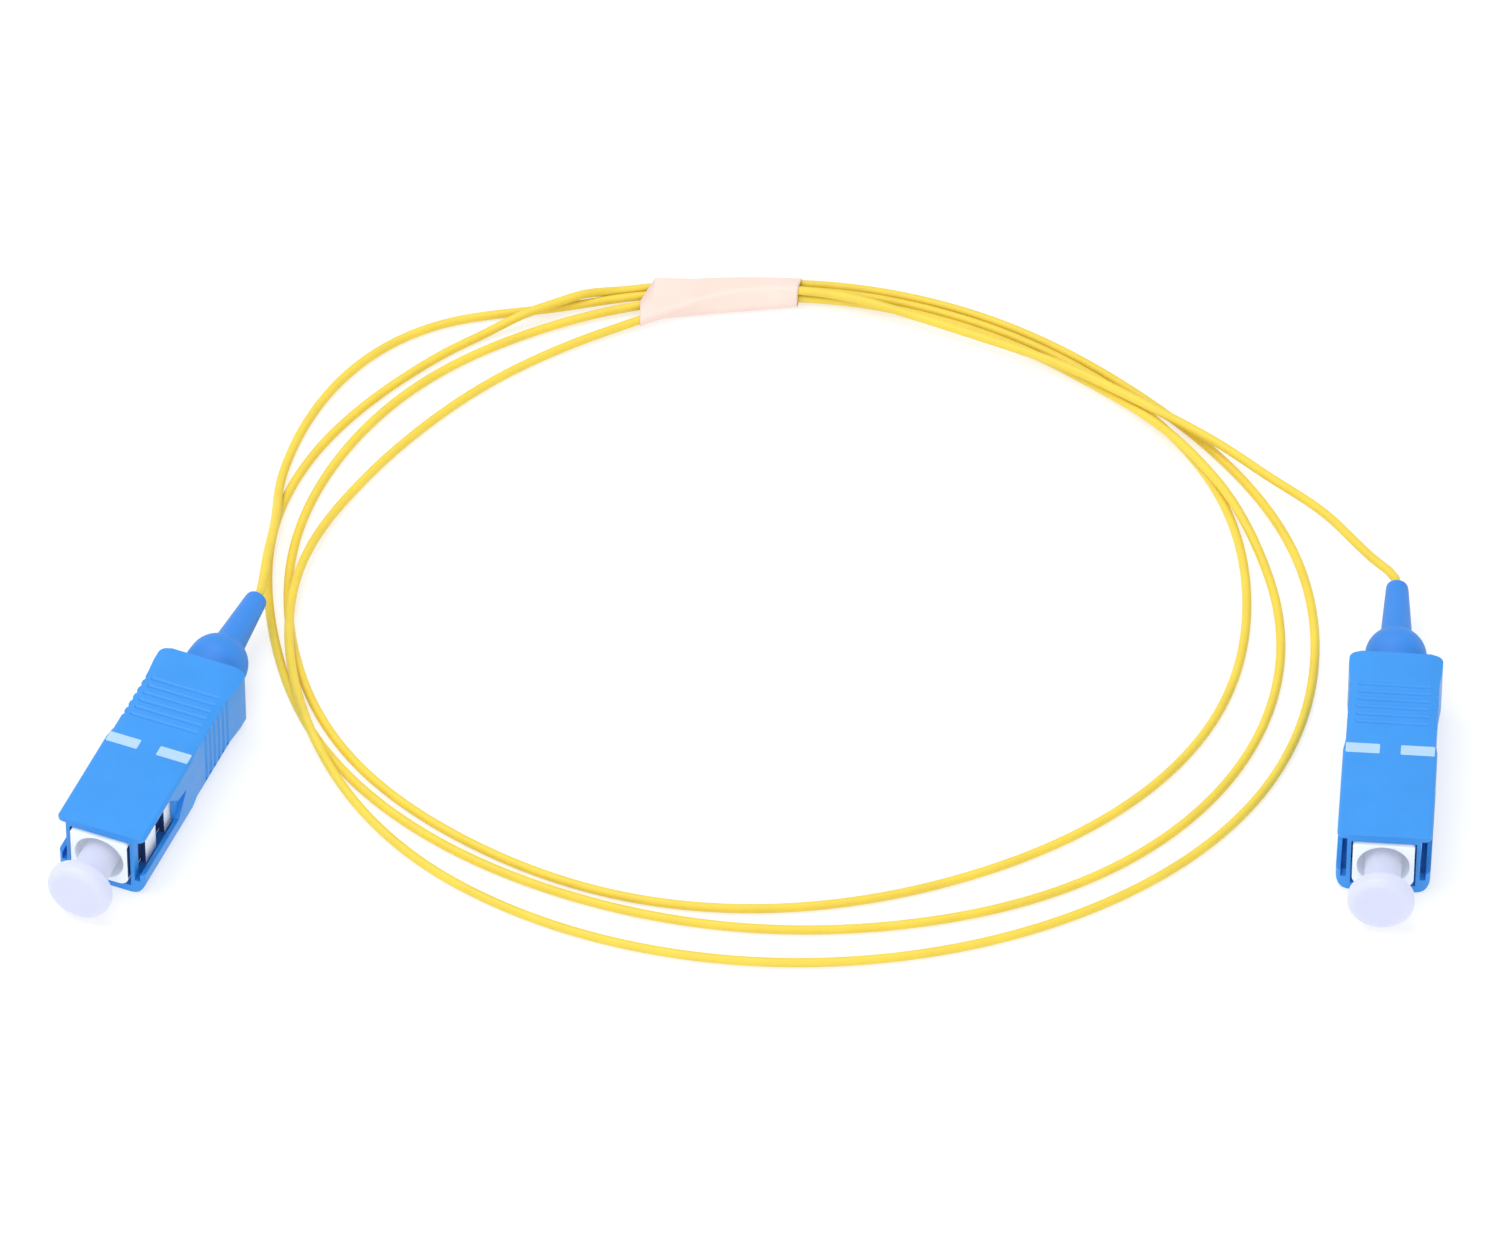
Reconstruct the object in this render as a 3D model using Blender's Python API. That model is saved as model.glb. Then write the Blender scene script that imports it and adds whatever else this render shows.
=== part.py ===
"""Fibre optic patch cord: two push-pull plugs on one metre of 0.9 mm buffered fibre.

The cord lies on the floor as three and a half loose turns, held by one strip of tape.
Units are metres and +Z is up. A plug is built lying along Y with its mating face towards -Y
and its underside on z = 0, and is then turned and moved to where it lies.
"""

import math

import bmesh
import bpy
import numpy as np
from mathutils import Matrix, Vector

MM = 0.001

# Grip: the blue outer housing that slides on the plug frame
GRIP_LENGTH = 24.5 * MM
GRIP_WIDTH = 9.0 * MM
GRIP_HEIGHT = 7.4 * MM
GRIP_ROOF = 0.85 * MM
GRIP_SIDE = 0.45 * MM
GRIP_TOP_EDGE = 0.4 * MM
GRIP_BOTTOM_EDGE = 1.5 * MM
GRIP_FRONT_CORNER = 0.7 * MM
GRIP_REAR_CORNER = 0.6 * MM
WAIST_AT = 11.6 * MM
WAIST_FROM_REAR = 3.6 * MM
WAIST_DEPTH = 0.2 * MM
WAIST_STEP = 1.4 * MM
WAIST_FLARE = 2.0 * MM
RIB_WIDTH = 0.4 * MM
RIB_DEPTH = 1.0 * MM
SLOT_LENGTH = 8.2 * MM
SLOT_SILL = 2.5 * MM
SLOT_TOP_BELOW_ROOF = 0.5 * MM
SLOT_SLANT_LENGTH = 1.9 * MM
SLOT_SLANT_DROP = 1.8 * MM
SLOT_POINT_LENGTH = 1.9 * MM
SLOT_POINT_DROP = 0.3 * MM
SLOT_POINT_DEPTH = 0.5 * MM
GROOVE_COUNT = 6
GROOVE_PITCH = 1.0 * MM
GROOVE_WIDTH = 0.5 * MM
GROOVE_DEPTH = 0.15 * MM
GROOVE_REACH = 7.0 * MM
GROOVES_FROM_REAR = 4.35 * MM
FLUTE_START = 1.4 * MM
FLUTE_DEPTH = 0.13 * MM
SHOULDER_WIDTH = 1.2 * MM
SHOULDER_DROP = 0.4 * MM

# Plug frame: the white body inside the grip, with its latching ears
FRAME_WIDTH = 5.9 * MM
FRAME_LENGTH = 19.5 * MM
FRAME_PROUD = 0.3 * MM
FRAME_TOP_EDGE = 0.3 * MM
FRAME_BOTTOM_EDGE = 1.0 * MM
MOUTH_RADIUS = 2.5 * MM
MOUTH_DEPTH = 6.2 * MM
WEB_DEPTH = 1.2 * MM
EAR_WIDTH = 7.0 * MM
EAR_HEIGHT = 4.4 * MM
EAR_LENGTH = 2.4 * MM
EAR_GAP = 1.9 * MM

# Ferrule with its flange, and the rear body that closes the frame
FERRULE_RADIUS = 1.25 * MM
FERRULE_PROUD = 1.2 * MM
FERRULE_CHAMFER = 0.3 * MM
FLANGE_RADIUS = 2.1 * MM
FLANGE_LENGTH = 2.0 * MM
TAIL_RADIUS = 1.0 * MM
TAIL_LENGTH = 2.5 * MM
REAR_BODY_RADIUS = 2.0 * MM
REAR_BODY_OVERLAP = 5.5 * MM
REAR_BODY_IN_BOOT = 4.0 * MM
REAR_BODY_BORE = 0.65 * MM

# Boot: the blue strain relief, whose round base fills the back of the grip
BOOT_BASE_SPREAD = 0.12
BOOT_DOME_RADIUS = 3.0 * MM
BOOT_DOME_AT = 27.5 * MM
BOOT_NECK_RADIUS = 1.55 * MM
BOOT_TIP_RADIUS = 1.07 * MM
BOOT_TIP_AT = 37.1 * MM

# Dust cap: a mushroom whose hollow stem covers the ferrule
CAP_HEAD_RADIUS = 3.2 * MM
CAP_HEAD_DEPTH = 2.0 * MM
CAP_HEAD_EDGE = 0.7 * MM
CAP_REACH = 5.7 * MM
CAP_STEM_RADIUS = 1.75 * MM
CAP_STEM_END = 5.0 * MM

# Clearances between pieces
SLIDE_GAP = 0.15 * MM
FIT_GAP = 0.2 * MM
FACE_GAP = 0.3 * MM
GRIP_TRAVEL = 1.5 * MM
CUT_OVER = 1.0 * MM
SAME_POINT = 0.001 * MM

# The boot's base fills the back of the grip, clear of its roof and floor
BOOT_BASE_RADIUS = GRIP_HEIGHT / 2 - GRIP_ROOF - FIT_GAP

# How finely round shapes are divided, and the angle above which an edge stays sharp
TURN_STEPS = 32
DOME_STEPS = 7
CORNER_STEPS = 4
SHARP_DEGREES = 35.0

# Cord and tape
CORD_DIAMETER = 0.9 * MM
TAPE_WALL = 0.15 * MM
TAPE_GAP = 0.12 * MM

# Where the two plugs lie: middle of the mating face, degrees the plug is turned clockwise, and how far
# its boot leans to the right, as a slope
LOOP_CENTRE = (3.6 * MM, 3.1 * MM)
PLUG_A = (-61.63 * MM, -34.38 * MM, 22.3, 0.0)
PLUG_B = (60.05 * MM, -35.45 * MM, 4.5, -0.033)

AXIS_HEIGHT = GRIP_HEIGHT / 2
FLOOR_ROW = CORD_DIAMETER / 2
TAPED_ROW = TAPE_WALL + TAPE_GAP + CORD_DIAMETER / 2

# The cord's route by eye, as compass degrees round the loop and mm from its centre
ROUTE = (
    # first turn, the inner one in front
    (180.0, 50.6), (176.0, 50.4), (170.0, 50.5), (163.0, 51.7), (154.0, 52.8), (142.0, 53.0),
    (131.0, 50.7), (120.0, 46.3), (113.0, 44.45), (107.0, 43.75), (88.0, 42.45), (70.0, 42.4), (52.0, 42.7),
    (38.0, 43.4), (20.0, 44.4), (0.0, 44.5), (-20.0, 44.2), (-42.0, 42.5), (-64.0, 40.9), (-88.0, 41.1),
    (-112.0, 42.7), (-135.0, 44.8), (-155.0, 47.2), (-172.0, 48.1),
    # second turn, the middle one
    (-190.0, 48.4), (-204.0, 47.8), (-219.0, 46.6), (-236.0, 44.5), (-253.0, 42.6), (-272.0, 41.45),
    (-290.0, 41.4), (-308.0, 41.7), (-324.0, 42.7), (-339.0, 44.4), (-352.0, 46.2), (-368.0, 48.1),
    (-388.0, 48.8), (-410.0, 47.4), (-434.0, 44.9), (-458.0, 44.0), (-480.0, 44.9), (-500.0, 47.1),
    (-519.0, 49.1), (-535.0, 49.9),
    # third turn, the outer one
    (-552.0, 50.8), (-565.0, 50.1), (-580.0, 48.3), (-591.0, 47.1), (-597.0, 46.3), (-603.0, 45.65),
    (-608.0, 45.2), (-613.0, 44.85), (-632.0, 43.4), (-650.0, 43.45), (-668.0, 43.7), (-682.0, 44.6),
    (-698.0, 47.0), (-712.0, 49.5), (-729.0, 51.5), (-750.0, 52.3), (-774.0, 50.5), (-798.0, 48.7),
    (-825.0, 48.4), (-848.0, 49.3), (-866.0, 49.8), (-883.0, 49.1), (-900.0, 47.8),
    # last half turn, over the others and out to the second plug
    (-915.0, 45.5), (-930.0, 43.1), (-950.0, 41.4), (-973.0, 40.9), (-992.0, 41.5), (-1005.0, 40.4),
    (-1020.0, 40.1), (-1033.0, 41.3), (-1046.0, 43.6), (-1056.0, 47.0), (-1063.0, 49.8), (-1070.0, 53.2),
    (-1077.0, 56.4),
)

# Where the cord climbs and comes down again: compass degrees, and mm above its resting row
LIFTS = (
    (180.5, 3.25), (157.0, 0.0), (-311.0, 0.0), (-333.0, 1.06), (-341.0, 1.06), (-357.0, 0.0),
    (-590.0, 0.0), (-599.0, 1.05), (-605.0, 1.05), (-613.0, 0.0), (-850.0, 0.0), (-882.0, 1.05),
    (-901.0, 1.0), (-922.0, 0.0), (-964.0, 0.0), (-984.0, 0.97), (-1015.0, 0.97), (-1046.0, 1.6),
    (-1060.0, 1.45), (-1082.0, 3.25),
)

# Compass degrees where every turn gets a point of its tube, closer together at the tape and the crossings
STATIONS = (
    88, 75, 61, 47, 34, 21, 8, -8, -28, -48, -68, -88, -108, -128, -147, -164, -180, -197, -213, -228,
    -240, -247, -253,
)
END_STATIONS = (172, -1066, -1077)
FULL_TURN = 360
FIRST_TURN, LAST_TURN = -1, 4
EXIT_LEAD = 0.8 * MM
MIN_STEP = 2.5

# The middle of the tape, the degrees each side of it within which the cord rests in the tape, and the
# degrees at which it is down on the floor again
TAPE_AT = 97.5
TAPE_HOLDS = 12.0
TAPE_LANDS = 32.0

# Tape strip, in mm from the loop's centre. Its cut ends run through the points given. Its long edges
# are given as (x, y at the front edge, y at the back edge), because it is stiff and stays flat and
# straight where the strands inside it draw closer together.
TAPE_LEFT_END = ((-14.45, 30.0), (-14.45, 40.3), (-10.1, 50.3))
TAPE_RIGHT_END = ((-0.48, 30.0), (2.44, 50.0))
TAPE_EDGES = ((-14.45, 39.2, 43.55), (-12.75, 39.35, 43.45), (-6.9, 40.15, 43.25), (1.4, 41.1, 42.35))
TAPE_SPARE = 2.0 * MM
TAPE_RINGS = 10
TAPE_STEPS = 32


def clear_scene():
    for obj in list(bpy.data.objects):
        bpy.data.objects.remove(obj, do_unlink=True)


def new_collection(name, hidden=False):
    found = bpy.data.collections.new(name)
    bpy.context.scene.collection.children.link(found)
    found.hide_render = hidden
    return found


def material(name, colour, roughness):
    made = bpy.data.materials.new(name)
    made.use_nodes = True
    shader = made.node_tree.nodes["Principled BSDF"]
    shader.inputs["Base Color"].default_value = (*colour, 1.0)
    shader.inputs["Roughness"].default_value = roughness
    return made


def add_object(name, data, collection, finish=None):
    obj = bpy.data.objects.new(name, data)
    collection.objects.link(obj)
    if finish:
        data.materials.append(finish)
    return obj


def mesh_from(name, bm):
    mesh = bpy.data.meshes.new(name)
    bm.to_mesh(mesh)
    bm.free()
    return mesh


def add_box(bm, low, high):
    """Adds a box between two corners to a bmesh and returns its vertices."""
    low, high = Vector(low), Vector(high)
    size = Matrix.Diagonal((*(high - low), 1.0))
    place = Matrix.Translation((low + high) / 2) @ size
    return bmesh.ops.create_cube(bm, size=1.0, matrix=place)["verts"]


def add_prism(bm, corners, move):
    """Adds a solid to a bmesh: the flat face through the corners, carried along by move."""
    face = bm.faces.new([bm.verts.new(corner) for corner in corners])
    raised = bmesh.ops.extrude_face_region(bm, geom=[face])["geom"]
    far = [item for item in raised if isinstance(item, bmesh.types.BMVert)]
    bmesh.ops.translate(bm, verts=far, vec=move)
    bmesh.ops.recalc_face_normals(bm, faces=bm.faces[:])


def boxes(name, corners, collection, finish=None):
    """One object of separate boxes, each given by its low and high corner."""
    bm = bmesh.new()
    for low, high in corners:
        add_box(bm, low, high)
    return add_object(name, mesh_from(name, bm), collection, finish)


def round_edges(bm, edges, radius):
    bmesh.ops.bevel(
        bm, geom=edges, offset=radius, segments=CORNER_STEPS, profile=0.5, affect="EDGES", material=-1
    )


def rounded_bar(name, low, high, radii, collection, finish):
    """A box along Y whose long edges are rounded: radii are the top pair's and the bottom pair's."""
    bm = bmesh.new()
    add_box(bm, low, high)
    middle = (low[2] + high[2]) / 2
    for radius, is_top in zip(radii, (True, False)):
        edges = [
            edge
            for edge in bm.edges
            if abs(edge.verts[0].co.y - edge.verts[1].co.y) > (high[1] - low[1]) / 2
            and (edge.verts[0].co.z > middle) == is_top
        ]
        round_edges(bm, edges, radius)
    return add_object(name, mesh_from(name, bm), collection, finish)


def turned(name, profile, collection, finish):
    """A piece turned about the plug's axis: profile runs from mating face to back as (radius, y)."""
    bm = bmesh.new()
    verts = [bm.verts.new((radius, y, AXIS_HEIGHT)) for radius, y in profile]
    for first, second in zip(verts, verts[1:]):
        bm.edges.new((first, second))
    bmesh.ops.spin(
        bm,
        geom=bm.verts[:] + bm.edges[:],
        cent=(0.0, 0.0, AXIS_HEIGHT),
        axis=(0.0, 1.0, 0.0),
        angle=math.tau,
        steps=TURN_STEPS,
        use_merge=True,
    )
    bmesh.ops.remove_doubles(bm, verts=bm.verts[:], dist=SAME_POINT)
    bmesh.ops.recalc_face_normals(bm, faces=bm.faces[:])
    mesh = mesh_from(name, bm)
    mesh.shade_smooth()
    mesh.set_sharp_from_angle(angle=math.radians(SHARP_DEGREES))
    return add_object(name, mesh, collection, finish)


def cut(obj, cutter):
    modifier = obj.modifiers.new("cut " + cutter.name, "BOOLEAN")
    modifier.operation = "DIFFERENCE"
    modifier.solver = "EXACT"
    modifier.object = cutter
    cutter.hide_render = True
    cutter.display_type = "WIRE"


def join(obj, other):
    modifier = obj.modifiers.new("join " + other.name, "BOOLEAN")
    modifier.operation = "UNION"
    modifier.solver = "EXACT"
    modifier.object = other
    other.hide_render = True
    other.display_type = "WIRE"


def grip(tag, parts, tools, finish):
    """The blue outer housing: a square tube with latch slots in its sides and grip grooves at its back."""
    half = GRIP_WIDTH / 2
    edges = (GRIP_TOP_EDGE, GRIP_BOTTOM_EDGE)
    high = (half, GRIP_LENGTH, GRIP_HEIGHT)
    shell = rounded_bar(f"grip_{tag}", (-half, 0.0, 0.0), high, edges, parts, finish)
    narrow_waist(shell.data)
    cut(shell, corner_cutters(f"corners_{tag}", tools))
    cut(shell, shoulder_cutters(f"shoulders_{tag}", tools))
    for index, corners in enumerate(opening_boxes()):
        cut(shell, boxes(f"opening_{tag}_{index}", [corners], tools))
    for index, (outline, near) in enumerate(slot_outlines()):
        cut(shell, flank_cutters(f"slot_{tag}_{index}", outline, near, tools))
    cut(shell, boxes(f"grooves_{tag}", groove_boxes(), tools))
    return shell


def narrow_waist(mesh):
    """Steps the flanks of the grip's mesh in behind the latch slots and flares them out again at the back."""
    start, end = WAIST_AT, GRIP_LENGTH - WAIST_FROM_REAR
    bm = bmesh.new()
    bm.from_mesh(mesh)
    for y in (start, start + WAIST_STEP, end, end + WAIST_FLARE):
        everything = bm.verts[:] + bm.edges[:] + bm.faces[:]
        bmesh.ops.bisect_plane(bm, geom=everything, plane_co=(0.0, y, 0.0), plane_no=(0.0, 1.0, 0.0))
    for vert in bm.verts:
        if start + WAIST_STEP / 2 < vert.co.y < end + WAIST_FLARE / 2:
            vert.co.x *= 1.0 - WAIST_DEPTH / (GRIP_WIDTH / 2)
    bm.to_mesh(mesh)
    bm.free()


def corner_cutters(name, tools):
    """Cutters that round the grip's four upright corners."""
    bm = bmesh.new()
    past = GRIP_WIDTH / 2 + CUT_OVER
    for radius, end, out in ((GRIP_FRONT_CORNER, 0.0, -1), (GRIP_REAR_CORNER, GRIP_LENGTH, 1)):
        middle = GRIP_WIDTH / 2 - radius
        outline = [(past, end - out * radius)]
        for index in range(CORNER_STEPS + 1):
            turn = math.pi / 2 * index / CORNER_STEPS
            outline.append((middle + radius * math.cos(turn), end - out * radius * (1.0 - math.sin(turn))))
        outline += [(middle, end + out * CUT_OVER), (past, end + out * CUT_OVER)]
        for side in (-1, 1):
            corners = [(side * x, y, -CUT_OVER) for x, y in outline]
            add_prism(bm, corners, (0.0, 0.0, GRIP_HEIGHT + 2 * CUT_OVER))
    return add_object(name, mesh_from(name, bm), tools)


def shoulder_cutters(name, tools):
    """Cutters that slope the roof's two long edges where fingers hold the grip, easing in at the waist."""
    bm = bmesh.new()
    steepness = SHOULDER_DROP / SHOULDER_WIDTH
    far, above = GRIP_WIDTH / 2 + CUT_OVER, GRIP_HEIGHT + CUT_OVER
    clear_of_roof = SHOULDER_DROP + SAME_POINT
    stations = ((WAIST_AT, clear_of_roof), (WAIST_AT + WAIST_STEP, 0.0), (GRIP_LENGTH + CUT_OVER, 0.0))
    for side in (-1, 1):
        rings = []
        for y, lift in stations:
            low = GRIP_HEIGHT + lift - steepness * (SHOULDER_WIDTH + CUT_OVER)
            near = GRIP_WIDTH / 2 - SHOULDER_WIDTH - (CUT_OVER - lift) / steepness
            corners = ((far, above), (far, low), (near, above))
            rings.append([bm.verts.new((side * x, y, z)) for x, z in corners])
        for one, other in zip(rings, rings[1:]):
            for index in range(3):
                after = (index + 1) % 3
                bm.faces.new((one[index], one[after], other[after], other[index]))
        bm.faces.new(rings[0])
        bm.faces.new(rings[-1])
    bmesh.ops.recalc_face_normals(bm, faces=bm.faces[:])
    return add_object(name, mesh_from(name, bm), tools)


def opening_boxes():
    """The hollow, wide at the latch slots and narrow behind, the mouth, and a gap each side of the mouth."""
    low_roof, floor = GRIP_HEIGHT - GRIP_ROOF, GRIP_ROOF
    wall = GRIP_WIDTH / 2 - GRIP_SIDE
    channel = EAR_WIDTH / 2 + SLIDE_GAP
    mouth = FRAME_WIDTH / 2 + SLIDE_GAP
    past_rib = RIB_DEPTH + CUT_OVER
    corners = [
        ((-wall, RIB_DEPTH, floor), (wall, SLOT_LENGTH, low_roof)),
        ((-channel, SLOT_LENGTH - CUT_OVER, floor), (channel, GRIP_LENGTH + CUT_OVER, low_roof)),
        ((-mouth, -CUT_OVER, floor), (mouth, past_rib, low_roof)),
    ]
    for side in (-1, 1):
        near, far = sorted((side * (mouth + RIB_WIDTH), side * wall))
        corners.append(((near, -2 * CUT_OVER, floor + GRIP_ROOF), (far, past_rib, SLOT_SILL + CUT_OVER)))
    return corners


def slot_outlines():
    """Side views, as (y, z), of the latch slot and the recess behind it, each with how far in it starts."""
    top = GRIP_HEIGHT - SLOT_TOP_BELOW_ROOF
    back_top = top - SLOT_SLANT_DROP
    window = [
        (-CUT_OVER, SLOT_SILL),
        (SLOT_LENGTH, SLOT_SILL),
        (SLOT_LENGTH, back_top),
        (SLOT_LENGTH - SLOT_SLANT_LENGTH, top),
        (-CUT_OVER, top),
    ]
    recess = [
        (SLOT_LENGTH - CUT_OVER, SLOT_SILL),
        (SLOT_LENGTH, SLOT_SILL),
        (SLOT_LENGTH + SLOT_POINT_LENGTH, back_top - SLOT_POINT_DROP),
        (SLOT_LENGTH, back_top),
        (SLOT_LENGTH - CUT_OVER, back_top),
    ]
    return (
        (window, FRAME_WIDTH / 2 + SLIDE_GAP + RIB_WIDTH),
        (recess, GRIP_WIDTH / 2 - SLOT_POINT_DEPTH),
    )


def flank_cutters(name, outline, near, tools):
    """A pair of cutters with one side view, from a distance off the middle out past each flank."""
    bm = bmesh.new()
    reach = GRIP_WIDTH / 2 + CUT_OVER - near
    for side in (-1, 1):
        add_prism(bm, [(side * near, y, z) for y, z in outline], (side * reach, 0.0, 0.0))
    return add_object(name, mesh_from(name, bm), tools)


def groove_boxes():
    """Grooves across the top and the underside, and flutes up both flanks to the roof, at one pitch."""
    corners = []
    waist = GRIP_WIDTH / 2 - WAIST_DEPTH
    for index in range(GROOVE_COUNT):
        middle = GRIP_LENGTH - GROOVES_FROM_REAR - index * GROOVE_PITCH
        start, end = middle - GROOVE_WIDTH / 2, middle + GROOVE_WIDTH / 2
        for z in (0.0, GRIP_HEIGHT):
            corners.append((
                (-GROOVE_REACH / 2, start, z - GROOVE_DEPTH), (GROOVE_REACH / 2, end, z + GROOVE_DEPTH)
            ))
        for side in (-1, 1):
            near, far = sorted((side * (waist - FLUTE_DEPTH), side * (waist + CUT_OVER)))
            corners.append(((near, start, FLUTE_START), (far, end, GRIP_HEIGHT + CUT_OVER)))
    return corners


def plug_frame(tag, parts, tools, finish):
    """The white body: a bar bored for the ferrule, with the ears that the socket's latches hold."""
    half = FRAME_WIDTH / 2
    low, high = GRIP_ROOF + SLIDE_GAP, GRIP_HEIGHT - GRIP_ROOF - SLIDE_GAP
    body = rounded_bar(
        f"plug_frame_{tag}",
        (-half, -FRAME_PROUD, low),
        (half, FRAME_LENGTH, high),
        (FRAME_TOP_EDGE, FRAME_BOTTOM_EDGE),
        parts,
        finish,
    )
    ear_low, ear_high = AXIS_HEIGHT - EAR_HEIGHT / 2, AXIS_HEIGHT + EAR_HEIGHT / 2
    first = RIB_DEPTH + GRIP_TRAVEL + SLIDE_GAP
    second = first + EAR_LENGTH + EAR_GAP
    ears = boxes(
        f"ears_{tag}",
        [
            ((-EAR_WIDTH / 2, first, ear_low), (EAR_WIDTH / 2, first + EAR_LENGTH, ear_high)),
            ((-EAR_WIDTH / 2, second, ear_low), (EAR_WIDTH / 2, FRAME_LENGTH - CUT_OVER, ear_high)),
        ],
        tools,
    )
    join(body, ears)
    web = MOUTH_DEPTH + WEB_DEPTH
    bore = turned(
        f"bore_{tag}",
        [
            (0.0, -FRAME_PROUD - CUT_OVER),
            (MOUTH_RADIUS, -FRAME_PROUD - CUT_OVER),
            (MOUTH_RADIUS, MOUTH_DEPTH),
            (FERRULE_RADIUS + FIT_GAP, MOUTH_DEPTH),
            (FERRULE_RADIUS + FIT_GAP, web),
            (FLANGE_RADIUS + FIT_GAP, web),
            (FLANGE_RADIUS + FIT_GAP, FRAME_LENGTH + CUT_OVER),
            (0.0, FRAME_LENGTH + CUT_OVER),
        ],
        tools,
        None,
    )
    cut(body, bore)
    return body


def ferrule(tag, parts, finish):
    """The ceramic ferrule on its flange, which a spring in the frame pushes forward."""
    tip = -FRAME_PROUD - FERRULE_PROUD
    flange = MOUTH_DEPTH + WEB_DEPTH + FIT_GAP
    return turned(
        f"ferrule_{tag}",
        [
            (0.0, tip),
            (FERRULE_RADIUS - FERRULE_CHAMFER, tip),
            (FERRULE_RADIUS, tip + FERRULE_CHAMFER),
            (FERRULE_RADIUS, flange),
            (FLANGE_RADIUS, flange),
            (FLANGE_RADIUS, flange + FLANGE_LENGTH),
            (TAIL_RADIUS, flange + FLANGE_LENGTH),
            (TAIL_RADIUS, flange + FLANGE_LENGTH + TAIL_LENGTH),
            (0.0, flange + FLANGE_LENGTH + TAIL_LENGTH),
        ],
        parts,
        finish,
    )


def rear_body(tag, parts, finish):
    """The metal sleeve that closes the frame and carries the boot."""
    start = FRAME_LENGTH - REAR_BODY_OVERLAP
    end = FRAME_LENGTH + FACE_GAP + REAR_BODY_IN_BOOT
    return turned(
        f"rear_body_{tag}",
        [
            (REAR_BODY_BORE, start),
            (REAR_BODY_RADIUS, start),
            (REAR_BODY_RADIUS, end),
            (REAR_BODY_BORE, end),
            (REAR_BODY_BORE, start),
        ],
        parts,
        finish,
    )


def boot(tag, lean, parts, finish):
    """The blue strain relief: an oval base, a round dome behind the grip and a taper down to the cord."""
    base = FRAME_LENGTH + FACE_GAP
    bore = REAR_BODY_RADIUS + FIT_GAP
    depth = base + REAR_BODY_IN_BOOT + FIT_GAP
    profile = [(0.0, depth), (bore, depth), (bore, base), (BOOT_BASE_RADIUS, base)]
    first = -math.acos(BOOT_BASE_RADIUS / BOOT_DOME_RADIUS)
    last = math.acos(BOOT_NECK_RADIUS / BOOT_DOME_RADIUS)
    for index in range(DOME_STEPS + 1):
        turn = first + (last - first) * index / DOME_STEPS
        profile.append((BOOT_DOME_RADIUS * math.cos(turn), BOOT_DOME_AT + BOOT_DOME_RADIUS * math.sin(turn)))
    profile.append((BOOT_TIP_RADIUS, BOOT_TIP_AT))
    profile.append((0.0, BOOT_TIP_AT))
    made = turned(f"boot_{tag}", profile, parts, finish)
    dome_start = BOOT_DOME_RADIUS * math.sin(-first)
    for vert in made.data.vertices:
        oval = min(max((BOOT_DOME_AT - vert.co.y) / dome_start, 0.0), 1.0)
        vert.co.x *= 1.0 + BOOT_BASE_SPREAD * oval
        vert.co.x += lean * max(vert.co.y - depth, 0.0)
    return made


def dust_cap(tag, parts, finish):
    """The mushroom cap: a rounded disc on a hollow stem that is pushed over the ferrule."""
    face = -CAP_REACH
    back = face + CAP_HEAD_DEPTH
    bore = FERRULE_RADIUS + FIT_GAP
    bottom = -FRAME_PROUD - FERRULE_PROUD - FACE_GAP
    edge = CAP_HEAD_EDGE
    profile = [(0.0, face)]
    for centre, start in ((face + edge, -90.0), (back - edge, 0.0)):
        for index in range(CORNER_STEPS + 1):
            turn = math.radians(start + 90.0 * index / CORNER_STEPS)
            profile.append((CAP_HEAD_RADIUS - edge + edge * math.cos(turn), centre + edge * math.sin(turn)))
    profile.append((CAP_STEM_RADIUS, back))
    profile.append((CAP_STEM_RADIUS, CAP_STEM_END))
    profile.append((bore, CAP_STEM_END))
    profile.append((bore, bottom))
    profile.append((0.0, bottom))
    return turned(f"dust_cap_{tag}", profile, parts, finish)


def plug(tag, place, parts, tools, finishes):
    """All pieces of one plug, on an empty that carries them to where the plug lies."""
    before = set(bpy.data.objects)
    grip(tag, parts, tools, finishes["blue"])
    plug_frame(tag, parts, tools, finishes["white"])
    ferrule(tag, parts, finishes["ceramic"])
    rear_body(tag, parts, finishes["metal"])
    boot(tag, place[3], parts, finishes["blue"])
    dust_cap(tag, parts, finishes["cap"])
    holder = add_object(f"plug_{tag}", None, parts)
    holder.location = (place[0], place[1], 0.0)
    holder.rotation_euler = (0.0, 0.0, -math.radians(place[2]))
    for obj in set(bpy.data.objects) - before - {holder}:
        obj.parent = holder
    return holder


def boot_end(place, past):
    """World point on the line of a plug's leaning boot, a distance past the boot's end."""
    turn = math.radians(place[2])
    reach = BOOT_TIP_AT + past
    aside = place[3] * (reach - FRAME_LENGTH - FACE_GAP - REAR_BODY_IN_BOOT - FIT_GAP)
    x = place[0] + reach * math.sin(turn) + aside * math.cos(turn)
    y = place[1] + reach * math.cos(turn) - aside * math.sin(turn)
    return np.array((x, y, AXIS_HEIGHT))


def smooth_through(at, values, wanted):
    """Natural cubic spline through the points (at, values), read at the wanted places; at rises."""
    step = np.diff(at)
    slope = np.diff(values) / step
    count = len(at)
    matrix = np.eye(count)
    right = np.zeros(count)
    for i in range(1, count - 1):
        matrix[i, i - 1 : i + 2] = (step[i - 1], 2 * (step[i - 1] + step[i]), step[i])
        right[i] = 6 * (slope[i] - slope[i - 1])
    bend = np.linalg.solve(matrix, right)
    i = np.clip(np.searchsorted(at, wanted) - 1, 0, count - 2)
    t = wanted - at[i]
    lean = slope[i] - step[i] * (2 * bend[i] + bend[i + 1]) / 6
    return values[i] + t * (lean + t * (bend[i] / 2 + t * (bend[i + 1] - bend[i]) / (6 * step[i])))


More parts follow.
